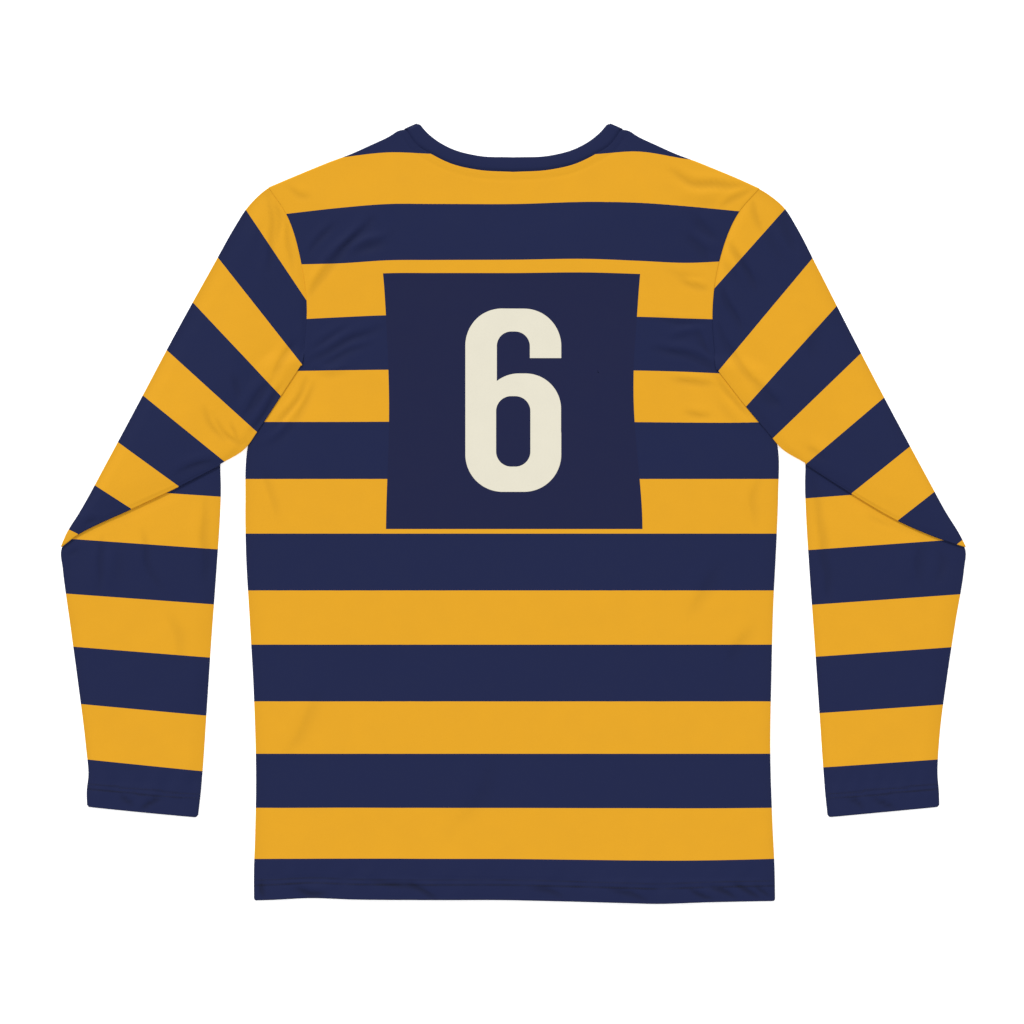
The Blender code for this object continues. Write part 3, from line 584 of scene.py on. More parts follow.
def edge_shade(shade_shares, from_edge):
    """The painted crease shade, raised to a painted shade beside an edge, where the cloth turns away."""
    return np.maximum(shade_shares, EDGE_SHADE_SHARE * np.exp(-np.maximum(from_edge, 0.0) / EDGE_SHADE_REACH))


def turned_shade_gain(from_hem):
    """A gain for the painted crease shade in the turned-up cloth near the hem and the cuffs."""
    return 1.0 + TURNED_SHADE_GAIN * (1.0 - ease(TURNED_REACH, TURNED_REACH + TURNED_EASE, from_hem))


def stitch_shade_mark(away, share):
    """A mark of how far places are from a row of stitches, and of how strongly the painted shade along it
    shows.
    """
    return np.stack([away, np.zeros_like(away) + share, np.zeros_like(away)], axis=-1)


def waver(places, seed, wavelengths, size):
    """A smooth irregular height made of a few crossing waves."""
    draw = np.random.RandomState(seed)
    total = np.zeros(places.shape[:-1])
    for wavelength in wavelengths:
        angle, phase = draw.uniform(0, math.pi), draw.uniform(0, 2 * math.pi)
        run = places[..., 0] * math.cos(angle) + places[..., 1] * math.sin(angle)
        total += np.sin(2 * math.pi * run / wavelength + phase)
    return size * total / len(wavelengths)


def creases_at(table, places, to_light):
    """The height that a table of creases adds, each with its steep flank on the side away from the light."""
    flat = places.reshape(-1, 2)
    bent = flat + np.stack([waver(flat, *wave) for wave in CREASE_WANDER], axis=-1)
    height = np.zeros(len(flat))
    for *points, rise, half_width, lean in table:
        line = Edge(np.reshape(points, (-1, 2))).points
        run = line[-1] - line[0]
        if run[0] * to_light[1] - run[1] * to_light[0] < 0:
            line = line[::-1]
        margin = CREASE_MARGIN * half_width
        near = ((bent > line.min(0) - margin) & (bent < line.max(0) + margin)).all(1)
        if not near.any():
            continue
        distance, index, side = nearest(bent[near], line)
        share = index / (len(line) - 1)
        fade = CREASE_END + (1.0 - CREASE_END) * np.sin(math.pi * share)
        up = math.copysign(1.0, rise)
        width = half_width * (1.0 + lean * side * up)
        main = np.exp(-((distance / width) ** 2))
        beside_gap = distance * side + BESIDE_AWAY * half_width * up
        beside = np.exp(-((beside_gap / (BESIDE_WIDTH * half_width)) ** 2))
        height[near] += CREASE_GAIN * rise * fade * (main - BESIDE_SHARE * beside)
    return height.reshape(places.shape[:-1])


def shares_with_edges(length, cell):
    """Shares from 0 to 1 at an even cell, with finer lines at both ends."""
    count = max(int(round(length / cell)), 2)
    return with_edge_lines(np.linspace(0.0, 1.0, count + 1), length)


def with_edge_lines(shares, length):
    """Shares from 0 to 1, with finer lines put in at both ends."""
    near = EDGE_LINES / length
    inner = (shares > near[-1] * LINE_SPACE) & (shares < 1 - near[-1] * LINE_SPACE)
    kept = shares[(shares == 0) | (shares == 1) | inner]
    return np.unique(np.concatenate([kept, near, 1.0 - near]))


def graded_shares(length, zones):
    """Shares from 0 to 1 in zones, each with its own end and cell."""
    parts, start = [], 0.0
    for end, cell in zones:
        count = max(int(round((end - start) * length / cell)), 1)
        parts.append(np.linspace(start, end, count + 1)[:-1])
        start = end
    return with_edge_lines(np.append(np.concatenate(parts), 1.0), length)


def flip(points):
    """The same places on the left half."""
    return points * np.array([-1.0, 1.0])


def round_corner(places, corner, first, second, radius):
    """Pulls places in to a rounded corner of an outline, whose two edges face first and second."""
    bisector = first + second
    centre = corner - bisector * radius / (bisector @ first)
    gap = places - centre
    outside = gap @ np.array([-second[1], second[0]]) * np.sign(np.cross(second, first)) > 0
    outside &= gap @ np.array([-first[1], first[0]]) * np.sign(np.cross(first, second)) > 0
    reach = np.linalg.norm(gap, axis=-1, keepdims=True)
    rounded = centre + gap * radius / np.maximum(reach, TINY)
    return np.where(outside[..., None] & (reach > radius), rounded, places)


def panel_places(neck_seam, side_cell, neck_cell, row_zones):
    """Places of a body panel, as columns from the hem to the shoulders and the neck seam."""
    sides = {side: Edge(ARMHOLE[side] + BODY_SIDE[side]) for side in SIGN}
    hem = Edge(HEM_EDGE)
    slopes = {side: Edge(ARMHOLE[side][:1] + SHOULDER) for side in SIGN}
    half_neck = Edge(neck_seam)
    slope_shares = shares_with_edges(slopes["left"].length, side_cell)[:-1]
    neck_shares = shares_with_edges(half_neck.length, neck_cell)[:-1]
    top = np.vstack([
        flip(slopes["left"].at(slope_shares)),
        flip(half_neck.at(neck_shares)),
        half_neck.at(1.0)[None],
        half_neck.at(neck_shares[::-1]),
        slopes["right"].at(slope_shares[::-1]),
    ])
    share = ((top[:, 0] - top[0, 0]) / (top[-1, 0] - top[0, 0]))[:, None]
    rows = graded_shares(PANEL_HEIGHT, row_zones)[None, :]

    def across(up):
        left = -sides["left"].out_at(up)
        return left + (sides["right"].out_at(up) - left) * share

    foot = hem.up_at(across(np.full_like(share, HEM_CORNER)))
    up = foot + (top[:, 1:] - foot) * rows
    places = np.stack([across(up) + (top[:, :1] - across(top[:, 1:])) * rows, up], axis=-1)
    for column, out in ((0, np.array([-1.0, 0.0])), (-1, np.array([1.0, 0.0]))):
        places = round_corner(places, places[column, 0].copy(), out, np.array([0.0, -1.0]), CORNER_RADIUS)
    return places


def panel_rims(places):
    """Distance from a panel's places to its sides, its upper edge and its hem."""
    left, right = places[:1, :, 0], places[-1:, :, 0]
    sides = np.minimum(places[..., 0] - left, right - places[..., 0])
    top = np.linalg.norm(places - places[:, -1:], axis=-1)
    hem = places[..., 1] - places[:, :1, 1]
    return sides, top, hem


def rolled(distance, width):
    """1 at an edge, falling to 0 at a width from it, as a quarter of a round."""
    inner = np.clip(1.0 - distance / width, 0.0, 1.0)
    return 1.0 - np.sqrt(np.clip(1.0 - inner**2, 0.0, 1.0))


def hem_share(places):
    """1 in the turned-up hem and 0 above it."""
    above = places[..., 1] - HEM_CORNER + waver(places, *HEM_WANDER)
    return 1.0 - ease(HEM_DEPTH - HEM_STEP, HEM_DEPTH + HEM_STEP, above)


def under_sleeve(places):
    """Whether places of the back panel lie under a sleeve."""
    covered = np.zeros(places.shape[:-1], bool)
    for side, sign in SIGN.items():
        line = Edge(UNDERARM[side][:4])
        out, up = sign * places[..., 0], places[..., 1]
        between = (up < line.points[0, 1]) & (up > line.points[-1, 1])
        covered |= between & (out > line.out_at(up))
    return covered


def back_rise(places):
    """How far the back panel lofts above its lowest lay, with its creases and the hem's waves."""
    seams, underarms = [], []
    for side, sign in SIGN.items():
        for table in (ARMHOLE[side][:1] + SHOULDER, ARMHOLE[side], BODY_SIDE[side][1:], NECK_SEAM_BACK):
            seams.append(Edge(table).points[::4] * np.array([sign, 1.0]))
        underarms.append(Edge(UNDERARM[side][:4]).points * np.array([sign, 1.0]))
    inside = distance_to(places, seams)
    from_arm = distance_to(places, underarms)
    uneven = waver(places, *BACK_UNEVEN) * ease(*UNEVEN_RANGE, inside)
    loft = BACK_LOFT * ease(0.0, LOFT_WIDTH, inside) + uneven
    creases = creases_at(BACK_CREASES, places, TO_LIGHT)
    creases = creases * ease(*CREASE_RANGE, inside) * ease(*BESIDE_ARM, from_arm)
    fine = waver(places, *BACK_FINE) * ease(*FINE_RANGE, inside)
    rise = loft * ease(*ARM_LOFT_RANGE, from_arm) + creases + fine + hem_waves(places) + hem_ripples(places)
    shown = ~under_sleeve(places)
    return np.where(shown, np.maximum(rise, BACK_LOWEST), 0.0), np.where(shown, creases, 0.0)


def hem_waves(places):
    """The broad waves along the hem, uneven and still at its ends."""
    across = places[..., 0]
    bend = WAVE_SHIFT * np.sin(across / WAVE_SHIFT_LENGTH)
    swing = np.sin(HEM_WAVES * math.pi * (across + HALF_CHEST) / HALF_CHEST + bend)
    low = 1.0 - ease(0.0, HEM_WAVE_REACH, places[..., 1] - HEM_CORNER)
    return HEM_WAVE_RISE * low * (0.5 + 0.5 * swing) * ease(0.0, WAVE_END, HEM_END - np.abs(across))


def sewn_grooves(from_row):
    """The grooves that a pair of stitch rows presses in, by the distance from its upper row."""
    return sum(np.exp(-(((from_row + step) / GROOVE_HALF) ** 2)) for step in (0.0, SEWN_PAIR))


def above_hem(places):
    """How far places are above the hem's lower edge."""
    return places[..., 1] - Edge(HEM_EDGE).up_at(places[..., 0])


def hem_ripples(places):
    """Small uneven puckers that the hem's stitching draws in."""
    above = above_hem(places)
    reach = np.exp(-(((above - HEM_DEPTH) / HEM_PUCKER_REACH) ** 2))
    slant = np.stack([places[..., 0] - 0.5 * above, places[..., 1] * PUCKER_STRETCH], axis=-1)
    inside = ease(0.0, PUCKER_END, HEM_END - np.abs(places[..., 0]))
    return reach * inside * waver(slant, *HEM_PUCKERS) - HEM_GROOVE * sewn_grooves(above - SEWN_HEM)


def from_neck(places):
    """How far places are from the neck seam."""
    seam = Edge(NECK_SEAM_BACK).points
    return distance_to(places, [seam, seam * np.array([-1.0, 1.0])])


def neck_groove(places):
    """The shallow line that the neck's topstitching presses into the back panel."""
    away = from_neck(places)
    groove = -NECK_GROOVE * np.exp(-(((away - SEWN_NECK) / NECK_GROOVE_HALF) ** 2))
    return groove + NECK_RISE * (1 - ease(*NECK_RISE_RANGE, away))


def back_height(places):
    """Height of the back panel's outer skin, its rolled edges apart."""
    hem = hem_share(places)
    rise, creases = back_rise(places)
    return BACK_TOP + rise + 2 * HEM_EXTRA * hem + neck_groove(places), creases


def lift_over_body(side, places):
    """How high the sleeve is carried where the body's corner lies under it."""
    knots = np.array([ARMHOLE[side][-1]] + BODY_SIDE[side][:3])
    steps = np.linspace(0.0, 1.0, CORNER_STEPS)[:, None]
    line = np.vstack([a + (b - a) * steps for a, b in zip(knots, knots[1:])])
    outline = Edge(ARMHOLE[side][-1:] + BODY_SIDE[side])
    inside = (places[..., 1] < knots[0, 1]) & (places[..., 0] < outline.out_at(places[..., 1]))
    above = np.maximum(places[..., 1] - knots[0, 1], 0.0)
    stretched = places + np.stack([np.zeros_like(above), above * (SEAM_STRETCH - 1.0)], axis=-1)
    away = np.where(inside, 0.0, distance_to(stretched, [line]))
    return OVER_BODY * (1.0 - ease(BODY_FLAT, BODY_FLAT + BODY_EASE, away))


def backward(outer, inner):
    """The direction across a crease that points up the arm."""
    run = (np.array(inner) - np.array(outer)) / np.linalg.norm(np.array(inner) - np.array(outer))
    across = np.array([run[1], -run[0]])
    return across if across[1] > 0 else -across


def lift_over_pleat(side, places):
    """How high the upper arm is carried where the elbow pleat lies under it."""
    outer, inner = HIDDEN_TURN[side]
    behind = (places - np.array(inner)) @ backward(outer, inner)
    beside = inner[0] - places[..., 0]
    over = 1.0 - ease(PLEAT_FLAT, PLEAT_FLAT + PLEAT_EASE, behind)
    return OVER_PLEAT * over * (1.0 - ease(BESIDE_FLAT, BESIDE_FLAT + BESIDE_EASE, beside))


def upper_arm_lift(side, places):
    """Height of what the upper arm lies on, the two climbs eased into one."""
    powers = lift_over_body(side, places) ** LIFT_POWER + lift_over_pleat(side, places) ** LIFT_POWER
    return powers ** (1 / LIFT_POWER)


def surface_normals(height, side, places):
    """The upward directions square to a height field."""
    step = 1.0
    slopes = []
    for shift in ((step, 0.0), (0.0, step)):
        high = height(side, places + np.array(shift))
        low = height(side, places - np.array(shift))
        slopes.append((high - low) / (2 * step))
    return unit(np.stack([-slopes[0], -slopes[1], np.ones_like(slopes[0])], axis=-1))


def unit(vectors):
    """Vectors of length one."""
    return vectors / np.linalg.norm(vectors, axis=-1, keepdims=True)


def lifted(places, heights):
    """Places in the plane with their heights."""
    heights = np.broadcast_to(heights, places.shape[:-1])
    return np.concatenate([places, heights[..., None]], axis=-1)


def sheet_places(outer, inner, first, last, across, along):
    """Places of the smooth sheet that fills four edges, for shares across and along."""
    u, v = across[None, :, None], along[:, None, None]
    sides = outer.at(along)[:, None] * (1 - u) + inner.at(along)[:, None] * u
    ends = first.at(across)[None] * (1 - v) + last.at(across)[None] * v
    start = first.at(0.0) * (1 - u) + first.at(1.0) * u
    finish = last.at(0.0) * (1 - u) + last.at(1.0) * u
    return sides + ends - start * (1 - v) - finish * v


def hoop_count(run, starts, first):
    """How many hoops lie before a place, as a number whose whole parts change at hoop edges."""
    total = np.full_like(run, float(first))
    for start, end in zip(starts, starts[1:]):
        total += np.clip((run - start) / (end - start), 0.0, 1.0)
    return total


def body_print(places):
    """The printed hoops' count on the body, and the heights that places had in the print before it bent."""
    across = places[..., 0]
    starts = []
    for up, bends in BODY_HOOPS:
        bend = Edge(list(zip(HOOP_ACROSS, bends)))
        starts.append(-up - bend.up_at(across))
    count = hoop_count(-places[..., 1], starts, 0)
    return count, np.interp(count, np.arange(len(BODY_HOOPS)), [up for up, _ in BODY_HOOPS])


def arm_hoops(places, axis, run, table, first):
    """The printed hoops' count on a stretch of sleeve."""
    run = np.array(run)
    inward = np.array([run[1], -run[0]])
    gap = places - np.array(axis)
    deep = gap @ inward
    starts = [start + lean * deep for start, lean in table]
    return hoop_count(gap @ run, starts, first)


def cloth_shell(name, outer, inner, looped, marks, material):
    """A closed shell between two skins of points, in rows, with its marks for the material."""
    rows, count = outer.shape[:2]
    index = np.arange(rows * count).reshape(rows, count)
    after = np.roll(index, -1, axis=1) if looped else index[:, 1:]
    here = index if looped else index[:, :-1]
    skin = np.stack([here[:-1], after[:-1], after[1:], here[1:]], axis=-1).reshape(-1, 4)
    faces = [skin, skin[:, ::-1] + rows * count]
    for row, turn in ((0, 1), (rows - 1, -1)):
        a, b = here[row], after[row]
        faces.append(np.stack([b, a, a + rows * count, b + rows * count], axis=-1)[:, ::turn])
    if not looped:
        for column, turn in ((0, 1), (count - 1, -1)):
            a, b = index[:-1, column], index[1:, column]
            faces.append(np.stack([a, b, b + rows * count, a + rows * count], axis=-1)[:, ::turn])
    points = np.concatenate([outer.reshape(-1, 3), inner.reshape(-1, 3)])
    doubled = {mark: np.concatenate([values.reshape(rows * count, -1)] * 2) for mark, values in marks.items()}
    return mesh_piece(name, points, np.concatenate(faces), doubled, material)


def mesh_piece(name, points, faces, marks, material):
    """A smooth mesh object from points in millimetres and faces of four, which point out."""
    points = points.astype(float).copy()
    points[:, :2] -= CENTRE
    a, b, c, d = (points[faces[:, i]] for i in range(4))
    volume = (np.cross(a, b) * c).sum() + (np.cross(a, c) * d).sum()
    if volume < 0:
        faces = faces[:, ::-1]
    mesh = bpy.data.meshes.new(name)
    mesh.vertices.add(len(points))
    mesh.vertices.foreach_set("co", (points * METRE).ravel())
    mesh.loops.add(faces.size)
    mesh.loops.foreach_set("vertex_index", faces.ravel())
    mesh.polygons.add(len(faces))
    mesh.polygons.foreach_set("loop_start", np.arange(0, faces.size, 4))
    mesh.update(calc_edges=True)
    mesh.validate()
    mesh.shade_smooth()
    for mark, values in marks.items():
        kind, field = ("FLOAT", "value") if values.shape[1] == 1 else ("FLOAT_VECTOR", "vector")
        mesh.attributes.new(mark, kind, "POINT").data.foreach_set(field, values.ravel())
    mesh.materials.append(material)
    piece = bpy.data.objects.new(name, mesh)
    bpy.context.scene.collection.objects.link(piece)
    return piece


def body_marks(places):
    """Marks of a body panel: hoop count, print field and flat cloth coordinates."""
    count, flat_up = body_print(places)
    left = Edge(FIELD_LEFT)
    right = Edge(FIELD_RIGHT)
    left_x = np.interp(flat_up, left.points[:, 1], left.points[:, 0])
    right_x = np.interp(flat_up, right.points[:, 1], right.points[:, 0])
    across = (places[..., 0] - left_x) / (right_x - left_x)
    upward = (flat_up - FIELD_BOTTOM) / (FIELD_TOP - FIELD_BOTTOM)
    zero = np.zeros_like(flat_up)
    return {
        "hoop": count,
        "field": np.stack([across, upward, zero], axis=-1),
        "cloth": np.stack([places[..., 0], flat_up, zero], axis=-1),
    }


def make_back(material):
    """The back panel over the front one, with a turned-up hem and rolled seams."""
    places = panel_places(NECK_SEAM_BACK, BACK_SIDE_CELL, BACK_NECK_CELL, BACK_ROWS)
    sides, top, hem_rim = panel_rims(places)
    armhole = places[..., 1] > UNDERARM_HEIGHT
    at_neck = np.abs(places[:, -1:, 0]) < NECK_END
    closing = np.maximum(rolled(sides, SIDE_ROLL) * np.where(armhole, ARMHOLE_SINK, EDGE_SINK),
                         rolled(top, TOP_ROLL) * np.where(at_neck, NECK_SINK, EDGE_SINK))
    height, creases = back_height(places)
    height = height - closing
    fold = FOLD_SINK * rolled(hem_rim, HEM_ROLL)
    wall = KNIT + (HEM_LAYERS - KNIT) * hem_share(places)
    at_seam = np.maximum((1.0 - ease(0.0, SEAM_WIDTH, sides)) * armhole,
                         (1.0 - ease(0.0, SEAM_WIDTH, top)) * at_neck)
    outer = lifted(places, height - fold)
    inner = lifted(places, height - wall * (1.0 - SEAM_THINNING * at_seam) + fold)
    marks = body_marks(places)
    # Painted shade: the knit's colour is darkened in the creases, more near the hem, and beside the body's
    # sides below the armholes
    shade_shares = crease_shade_share(creases) * turned_shade_gain(above_hem(places))
    marks["painted_shade"] = edge_shade(shade_shares, np.where(armhole, FAR, sides))
    # Painted shade along the hem's two stitch rows, and faintly along the neck's row
    low = places[..., 1] < 0.0
    away = np.where(low, above_hem(places) - SEWN_HEM, from_neck(places) - SEWN_NECK)
    marks["sewn"] = stitch_shade_mark(away, np.where(low, 1.0, NECK_STITCH_SHADE_SHARE))
    return cloth_shell("back_cloth", outer, inner, False, marks, material)


def make_front(material):
    """The front panel, flat on the surface."""
    places = panel_places(NECK_SEAM_FRONT, FRONT_CELL, FRONT_CELL, FRONT_ROWS)
    sides, top, hem_rim = panel_rims(places)
    side_rise = np.where(places[..., 1] > UNDERARM_HEIGHT, 0.0, FRONT_SIDE_RISE)
    closing = np.maximum(rolled(sides, SIDE_ROLL) * side_rise, rolled(top, TOP_ROLL) * FRONT_TOP_RISE)
    fold = FOLD_SINK * rolled(hem_rim, HEM_ROLL)
    wall = KNIT + (HEM_LAYERS - KNIT) * hem_share(places)
    marks = body_marks(places)
    marks["field"] = marks["field"] - OFF_THE_FIELD
    # The front gets no painted crease shade, only the painted shade along the hem's stitch rows
    marks["painted_shade"] = np.zeros(places.shape[:-1])
    marks["sewn"] = stitch_shade_mark(above_hem(places) - SEWN_HEM, 1.0)
    skins = lifted(places, closing + fold), lifted(places, wall + closing - fold)
    return cloth_shell("front_cloth", *skins, False, marks, material)


def tube_skins(middles, normals, bulges, half, wall):
    """The outer and the inner skin of a flattened tube, whose rings are round at both ends."""
    skins = []
    for reach in (half, half - wall):
        reach = reach[..., None]
        upper = middles + normals * (reach + bulges[..., None])
        lower = middles - normals * reach
        inner_end = ring_ends(middles[:, -1], middles[:, -2], normals[:, -1], reach[:, -1])
        outer_end = ring_ends(middles[:, 0], middles[:, 1], -normals[:, 0], reach[:, 0])
        skins.append(np.concatenate([upper, inner_end, lower[:, ::-1], outer_end], axis=1))
    return skins


def ring_ends(end, neighbour, normal, reach):
    """Points round one end of every ring, from its normal's side to the other."""
    out = end - neighbour
    out = unit(out - normal * (out * normal).sum(-1, keepdims=True))
    angles = math.pi * np.arange(1, END_STEPS) / END_STEPS
    spokes = normal[:, None] * np.cos(angles)[None, :, None] + out[:, None] * np.sin(angles)[None, :, None]
    return end[:, None] + spokes * reach[:, None]


def round_to_ring(values):
    """Values for each place of a ring's upper wall, carried round the whole ring."""
    inner = np.repeat(values[:, -1:], END_STEPS - 1, axis=1)
    outer = np.repeat(values[:, :1], END_STEPS - 1, axis=1)
    return np.concatenate([values, inner, values[:, ::-1], outer], axis=1)


def turn_stretch(crease, forward, top, faces_out, shares):
    """Middles and normals round one turn of the pleat, from its top down."""
    angles = math.pi * np.arange(1, TURN_STEPS) / TURN_STEPS
    spokes = np.sin(angles)[:, None] * np.append(forward, 0.0) + np.cos(angles)[:, None] * UP
    centres = lifted(crease.at(shares), top - TURN_RADIUS)
    middles = centres[None] + spokes[:, None] * TURN_RADIUS
    normals = np.broadcast_to(spokes[:, None] * (1.0 if faces_out else -1.0), middles.shape)
    return middles, normals


def upper_arm_stretch(side, upper_turn, shares):
    """Places, middles, normals, bulges, half thickness, hoops and creases from the armhole to the elbow."""
    outer = Edge(SLEEVE_OUTER[side][:-1] + [upper_turn.at(0.0)])
    inner = Edge(UNDERARM[side][:-1] + [upper_turn.at(1.0)])
    seam = Edge(np.array(ARMHOLE[side]) + np.array([SEAM_STEP, 0.0]))
    lengths = outer.length + (inner.length - outer.length) * shares
    even = np.linspace(0.0, 1.0, int(outer.length / SLEEVE_CELL) + 1)
    along = np.unique(np.concatenate([EDGE_LINES / outer.length, even]))
    places = sheet_places(outer, inner, seam, upper_turn, shares, along)
    lifts = upper_arm_lift(side, places)
    away = along[:, None] * lengths[None, :]
    places, lifts, away = tucked_in(places, lifts, away)
    blend = 1.0 - (1.0 - ease(0.0, SEAM_BLEND, away)) ** 2
    from_crease = np.linalg.norm(places - upper_turn.at(shares)[None], axis=-1)
    pressed = pressed_half(shares, from_crease)
    half = SEAM_HALF + (pressed - SEAM_HALF) * blend
    middles = lifted(places, lifts + SEAM_MIDDLE + (pressed - SEAM_MIDDLE) * blend)
    slanted = surface_normals(upper_arm_lift, side, places) - UP
    normals = unit(UP + slanted * ease(0.0, SQUARE_REACH, away)[..., None])
    bulges, creases = sleeve_bulges(side, places, shares)
    shown = ease(0.0, SEAM_CREASE_REACH, away) * ease(0.0, FOLD_CREASE_REACH, from_crease)
    hoops = arm_hoops(places, UPPER_ARM_AXIS[side], UPPER_ARM_RUN, UPPER_ARM_HOOPS[side], 1)
    return places, middles, normals, bulges * shown, half, hoops, creases * shown


def tucked_in(places, lifts, away):
    """The upper arm's rows with two more before them, which tuck the sleeve's end in at the armhole."""
    tucked = SEAM_OVERLAP + (SEAM_TUCK - SEAM_OVERLAP) * (1 - ease(*TUCK_RANGE, lifts[:1]))
    tuck = places[:1] - np.stack([tucked, np.zeros_like(tucked)], axis=-1)
    steps = np.array([1.0, 0.5])[:, None, None]
    places = np.concatenate([places[:1] + (tuck - places[:1]) * steps, places])
    lifts = np.concatenate([lifts[:1], lifts[:1], lifts])
    return places, lifts, np.concatenate([np.zeros_like(away[:2]), away])


def pressed_half(shares, from_crease):
    """Half of the tube's thickness: thin at its folded edges and at the elbow crease."""
    rim = np.minimum(shares, 1.0 - shares)[None, :] * SLEEVE_WIDTH
    open_share = ease(0.0, FOLD_SOFTNESS, rim) * ease(0.0, PLEAT_SOFTNESS, from_crease)
    return FOLD_HALF + (TUBE_HALF - FOLD_HALF) * open_share


def sleeve_bulges(side, places, shares):
    """How far the upper wall of a sleeve rises off the lower one, with its creases."""
    rim = np.minimum(shares, 1.0 - shares)[None, :]
    crown = SLEEVE_CROWN * np.sin(math.pi * shares)[None, :]
    to_light = np.array([SIGN[side], 1.0]) * TO_LIGHT
    creases = creases_at(SLEEVE_CREASES[side], places, to_light) * ease(0.0, CREASE_RIM, rim)
    uneven = waver(places, *SLEEVE_UNEVEN) + waver(places, *SLEEVE_FINE)
    bulges = crown + creases + uneven * ease(0.0, UNEVEN_RIM, rim)
    return np.maximum(bulges, SLEEVE_LOWEST) * ease(0.0, BULGE_RIM, rim), creases


def rounded_cuff(places, outer, inner, cuff):
    """A forearm's places with the cuff's two corners rounded."""
    end_run = unit(cuff.at(0.0) - cuff.at(1.0))
    ahead = np.array([end_run[1], -end_run[0]])
    for edge, column, outward in ((outer, 0, end_run), (inner, -1, -end_run)):
        run = unit(edge.at(1.0) - edge.at(BEFORE_CUFF))
        square = np.array([-run[1], run[0]])
        facing = square * np.sign(outward @ square)
        places = round_corner(places, places[-1, column].copy(), facing, ahead, CORNER_RADIUS)
    return places


def cuff_trims(places, rim, shares):
    """How the cuff's turned-up cloth, its puckers and its stitch rows shape the forearm's upper wall."""
    from_fold = np.minimum(shares, 1 - shares)[None, :]
    to_cuff = rim + waver(places, *CUFF_WANDER)
    in_cuff = 1.0 - ease(CUFF_DEPTH - CUFF_STEP, CUFF_DEPTH + CUFF_STEP, to_cuff)
    ripple = waver(places * np.array([1.0, 0.5]), *CUFF_PUCKERS) * ease(0.0, PUCKER_RIM, from_fold)
    ripple = ripple * np.exp(-(((rim - CUFF_DEPTH) / CUFF_PUCKER_REACH) ** 2))
    trims = ripple + CUFF_RISE * in_cuff - CUFF_GROOVE * sewn_grooves(rim - SEWN_CUFF)
    return trims * ease(0.0, TRIM_RIM, from_fold)


def forearm_stretch(side, lower_turn, shares):
    """The same values as for the upper arm, from the elbow pleat to the cuff."""
    outer = Edge([lower_turn.at(0.0)] + FOREARM_OUTER[side])
    inner = Edge([lower_turn.at(1.0)] + FOREARM_INNER[side])
    cuff = Edge(CUFF_EDGE[side])
    even = np.linspace(0.0, 1.0, int(outer.length / SLEEVE_CELL) + 1)
    along = np.unique(np.concatenate([even, 1.0 - EDGE_LINES / outer.length]))
    places = sheet_places(outer, inner, lower_turn, cuff, shares, along)
    places = rounded_cuff(places, outer, inner, cuff)
    rim = (1.0 - along)[:, None] * outer.length
    crease = Edge(ELBOW_CREASE[side][::-1])
    past = (crease.up_at(places[..., 0]) - places[..., 1]) * CREASE_SLOPE
    in_cuff = 1 - ease(CUFF_DEPTH - CUFF_EASE, CUFF_DEPTH + CUFF_EASE, rim)
    pressed = pressed_half(shares, past) + CUFF_EXTRA * in_cuff
    half = pressed - FOLD_SINK * rolled(rim, CUFF_ROLL)
    middles = lifted(places, pressed)
    bulges, creases = sleeve_bulges(side, places, shares)
    shown = ease(*PAST_PLEAT, past)
    raised = (bulges + cuff_trims(places, rim, shares)) * shown
    hoops = arm_hoops(places, FOREARM_AXIS[side], FOREARM_RUN, FOREARM_HOOPS[side], 0)
    return places, middles, np.broadcast_to(UP, middles.shape), raised, half, hoops, creases * shown


def sleeve_stretches(side, shares):
    """The values of a whole sleeve: upper arm, the pleat's two turns with the layer between, and forearm."""
    crease, hidden = ELBOW_CREASE[side], HIDDEN_TURN[side]
    forward = -backward(crease[0], crease[-1])
    back = backward(*hidden)
    upper_turn = Edge(np.array(crease) - forward * TURN_REACH)
    lower_turn = Edge(np.array(hidden) - back * TURN_REACH)
    top = FOLD_HALF + OVER_PLEAT
    flat = np.full(len(shares), FOLD_HALF)
    pleat = np.linspace(0.0, 1.0, PLEAT_RINGS + 1)[:, None, None]
    upper_arm = upper_arm_stretch(side, upper_turn, shares)
    seen = upper_arm[5][-1]
    layer = lifted(upper_turn.at(shares) * (1 - pleat) + lower_turn.at(shares) * pleat, top - LAYER_STEP)
    hidden_parts = (
        turn_stretch(upper_turn, forward, top, True, shares),
        (layer, np.broadcast_to(-UP, layer.shape)),
        turn_stretch(lower_turn, back, top - LAYER_STEP, False, shares),
    )
    stretches = [upper_arm, *(plain_stretch(*part, flat, seen) for part in hidden_parts)]
    stretches.append(forearm_stretch(side, lower_turn, shares))
    return [np.concatenate(part) for part in zip(*stretches)]


